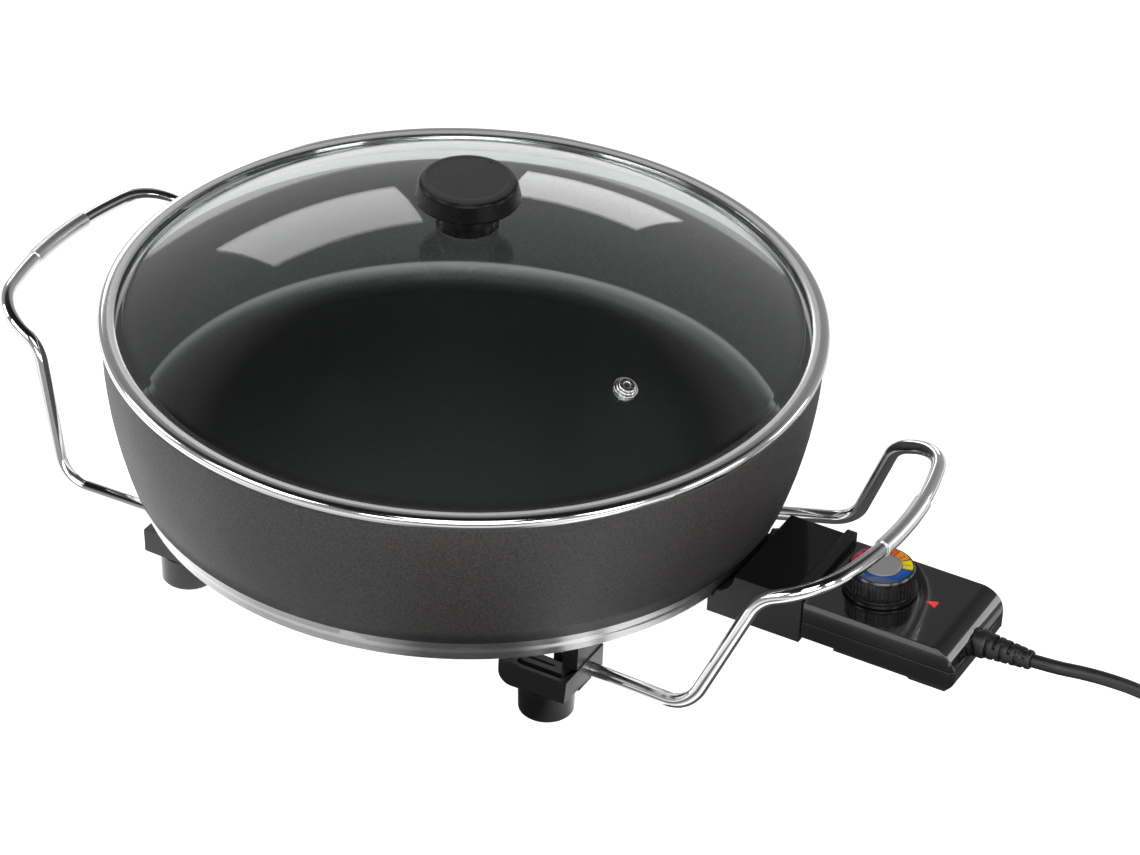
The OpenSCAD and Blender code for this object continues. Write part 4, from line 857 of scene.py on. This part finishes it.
strip_steel = Finish("strip_steel", Metallic=1.0)
rolled = strip_steel.noise(260, 3)
strip_steel.set("Base Color", strip_steel.between((0.50, 0.46, 0.40), (0.66, 0.63, 0.58), rolled))
strip_steel.set("Roughness", strip_steel.spread(rolled, 0.22, 0.38))
dress(strip_steel, "switch_frame", "bimetal_blade")
contact_silver = Finish("contact_silver", Metallic=1.0)
arcing = contact_silver.noise(1500, 3)
contact_silver.set("Base Color", contact_silver.between((0.60, 0.59, 0.56), (0.88, 0.87, 0.85), arcing))
contact_silver.set("Roughness", contact_silver.spread(arcing, 0.2, 0.4))
dress(contact_silver, "switch_contacts")
clamp_grey = Finish("clamp_grey")
mottle = clamp_grey.noise(500, 3)
clamp_grey.set("Base Color", clamp_grey.between((0.10, 0.10, 0.105), (0.15, 0.15, 0.155), mottle))
clamp_grey.set("Roughness", clamp_grey.spread(clamp_grey.noise(200, 3), 0.45, 0.6))
dress(clamp_grey, "cord_clamp")


# ---------------------------------------------------------------- dial
# A black moulded dial with a ribbed grip and a flange. A printed ring in five colours lies in
# its top round a spun metal disc, and its shaft turns a cam under the housing's top.
dial_axis = Vector((0.259, 0, 0))
dial_foot, dial_high = 0.0714, 0.0866
dial_black = Finish(
    "dial_black", Base_Color=(0.007, 0.007, 0.0075), Coat_Weight=0.3, Coat_Roughness=0.1,
)
dial_black.set("Roughness", dial_black.spread(dial_black.noise(200, 3), 0.22, 0.32))
dial_black.relief(dial_black.noise(1500, 2), 0.00002, 0.4)
ring_seat, cap_seat, shaft_hole = 0.01695, 0.01055, 0.0035
above_foot = [
    (0.0054, 0), (0.0054, 0.0112), (0.0146, 0.0112), (0.0146, 0), (0.0198, 0), (0.0204, 0.0004),
    (0.0204, 0.0016), (0.0196, 0.0020), (0.0186, 0.0021), (0.0184, 0.0025), (0.0190, 0.0028),
    (0.0192, 0.0034), (0.0174, 0.0037),
]
under_top = [
    (0.0174, 0.0030), (0.0179, 0.0027), (0.0180, 0.0011), (0.0173, 0.0001), (ring_seat, 0),
    (ring_seat, 0.0004), (cap_seat, 0.0004), (cap_seat, 0.0016), (shaft_hole, 0.0016),
]
dial_outline = [(r, dial_foot + h) for r, h in above_foot] + [(r, dial_high - h) for r, h in under_top]
dial_outline.append((shaft_hole, dial_foot))
dial_body = turned("dial_body", dial_outline, dial_black, 120)
dial_body.data.transform(Matrix.Translation(dial_axis))
ribbing = Tree("grip_ribs", {
    "Ribs": 44, "Ring radius": 0.01745, "Rib radius": 0.00075, "Rib height": 0.0089,
    "Axis X": dial_axis.x, "Middle height": dial_foot + 0.0080,
})
posts = ribbing.step("GeometryNodeMeshCircle", None, Vertices="Ribs", Radius="Ring radius")
rib = ribbing.step("GeometryNodeMeshCylinder", None, Vertices=10, Radius="Rib radius", Depth="Rib height")
rib = ribbing.step("GeometryNodeSetShadeSmooth", None, Geometry=rib)
ribs = ribbing.step("GeometryNodeInstanceOnPoints", None, Points=posts, Instance=rib)
lift = ribbing.step("ShaderNodeCombineXYZ", None, X="Axis X", Z="Middle height")
ribs = ribbing.step("GeometryNodeTransform", None, Geometry=ribs, Translation=lift)
whole = ribbing.step("GeometryNodeJoinGeometry")
ribbing.join("Geometry", whole.inputs[0])
ribbing.join(ribs, whole.inputs[0])
ribbing.make(dial_body, whole, dial_black)
fit(dial_body, dial_black, "dial", "dial_plastic", "dial")

scale_print = Finish("scale_print", Roughness=0.28, Coat_Weight=0.4, Coat_Roughness=0.08)
x, y, _ = scale_print.axes()
x_out = x - dial_axis.x
turn = compass(x_out, y)
reach = away(x_out, y)
ink_line, blank = grey(0.01), (0.02, 0.02, 0.021)
zones = [
    (-180, (0.33, 0.006, 0.035)), (-156, blank), (-114, (0.010, 0.075, 0.33)), (12, (0.86, 0.68, 0.01)),
    (47, (0.88, 0.30, 0.015)), (79, (0.84, 0.10, 0.008)), (109, (0.70, 0.02, 0.012)),
    (134, (0.40, 0.008, 0.05)),
    (177, (0.33, 0.006, 0.035)),
]
half_line = 0.0028
zone_stops = []
for angle, ink in zones:
    share = (angle + 180) / 360
    zone_stops += [(max(0, share - half_line), ink_line), (share + half_line, ink)]
zone_stops.append((1.0, zones[0][1]))
zone_settings = {"stops": zone_stops, "interpolation": "CONSTANT"}
zone_colour = scale_print.node("ShaderNodeValToRGB", zone_settings, {0: turn})
edge_line = (reach > 0.01655) + (reach < 0.0109)
scale_print.set("Base Color", scale_print.between(zone_colour, ink_line, edge_line))
scale_ring = merged("dial_ring", "scale_ring")
fit(scale_ring, scale_print, "dial", "scale_ring", "dial_ring")

number_ink = Finish("number_ink", Base_Color=(0.02, 0.018, 0.016))
number_ink.set("Roughness", number_ink.spread(number_ink.noise(3000, 2), 0.3, 0.45))
figure_reach, figure_level = 0.0137, dial_high - 0.00004
figures = []
for digit, angle in (("1", 29.5), ("2", 63), ("3", 94), ("4", 121.5), ("5", 155.5)):
    letter = bpy.data.curves.new("figure", "FONT")
    letter.body = digit
    letter.size = 0.0042
    letter.extrude = 0.00002
    letter.align_x = letter.align_y = "CENTER"
    printed = bpy.data.objects.new("figure", letter)
    scene.collection.objects.link(printed)
    bpy.context.view_layer.update()
    figure = bpy.data.meshes.new_from_object(printed)
    bpy.data.objects.remove(printed)
    spoke = math.radians(angle)
    outward = Vector((math.cos(spoke), math.sin(spoke), 0)) * figure_reach
    middle = dial_axis + outward + Vector((0, 0, figure_level))
    figure.transform(Matrix.Translation(middle) @ Matrix.Rotation(spoke - math.pi / 2, 4, "Z"))
    figures.append(figure)
work = bmesh.new()
for figure in figures:
    work.from_mesh(figure)
bmesh.ops.remove_doubles(work, verts=work.verts, dist=1e-6)
scale_numbers_mesh = bpy.data.meshes.new("scale_numbers")
work.to_mesh(scale_numbers_mesh)
work.free()
scale_numbers = bpy.data.objects.new("scale_numbers", scale_numbers_mesh)
scene.collection.objects.link(scale_numbers)
fit(scale_numbers, number_ink, "dial", "scale_ring")

spun_disc = Finish("spun_disc", Metallic=1.0)
x, y, z = spun_disc.axes()
reach = away(x - dial_axis.x, y)
spin = spun_disc.streaks(2, 0.5, reach * 3500, 0, z * 400)
spun_disc.set("Base Color", spun_disc.between((0.74, 0.74, 0.73), (0.90, 0.90, 0.89), spin))
spun_disc.set("Roughness", spun_disc.spread(spin, 0.34, 0.46))
dial_disc = merged("dial_cap", "dial_disc", edge=0.0001)
fit(dial_disc, spun_disc, "dial", "cap_steel", "dial_cap")

cam_acetal = Finish("cam_acetal")
milky = cam_acetal.noise(400, 3)
cam_acetal.set("Base Color", cam_acetal.between((0.60, 0.57, 0.48), (0.70, 0.67, 0.58), milky))
cam_acetal.set("Roughness", cam_acetal.spread(cam_acetal.noise(150, 3), 0.3, 0.42))
dress(cam_acetal, "dial_cam")


# ---------------------------------------------------------------- pilot light
# A small glow lamp under a clear red lens. The lens is set in the upper shell from inside, up to
# its flange, and is also the pointer for the dial.
lamp_amber = Finish("lamp_amber", Transmission_Weight=0.6, Base_Color=(0.90, 0.50, 0.24), IOR=1.5)
lamp_amber.set("Roughness", lamp_amber.spread(lamp_amber.noise(900, 2), 0.02, 0.1))
dress(lamp_amber, "pilot_lamp")
# Painted glow: the lens gives off red light of its own, though the glow lamp under it gives no light.
lens_red = Finish("lens_red", Coat_Weight=0.5, Coat_Roughness=0.05, Emission_Strength=0.35)
tint = lens_red.noise(800, 2)
lens_red.set("Base Color", lens_red.between((0.62, 0.02, 0.015), (0.80, 0.05, 0.03), tint))
lens_red.set("Emission Color", lens_red.between((0.7, 0.03, 0.02), (0.9, 0.08, 0.05), tint))
lens_red.set("Roughness", lens_red.spread(tint, 0.12, 0.22))
pointer = merged("pilot_lens", "pointer", edge=0.00015)
fit(pointer, lens_red, "heat_control", "lens_red", "pilot_lens")


# ---------------------------------------------------------------- strain relief
# A tapered sleeve of the lead's own rubber, slotted on two sides by turns so that it bends
# gently. Its collar is trapped between the two shells.
lead_relief = merged("strain_relief", "lead_relief", edge=0.0003)
fit(lead_relief, cord_rubber, "heat_control", "cord_rubber", "strain_relief")
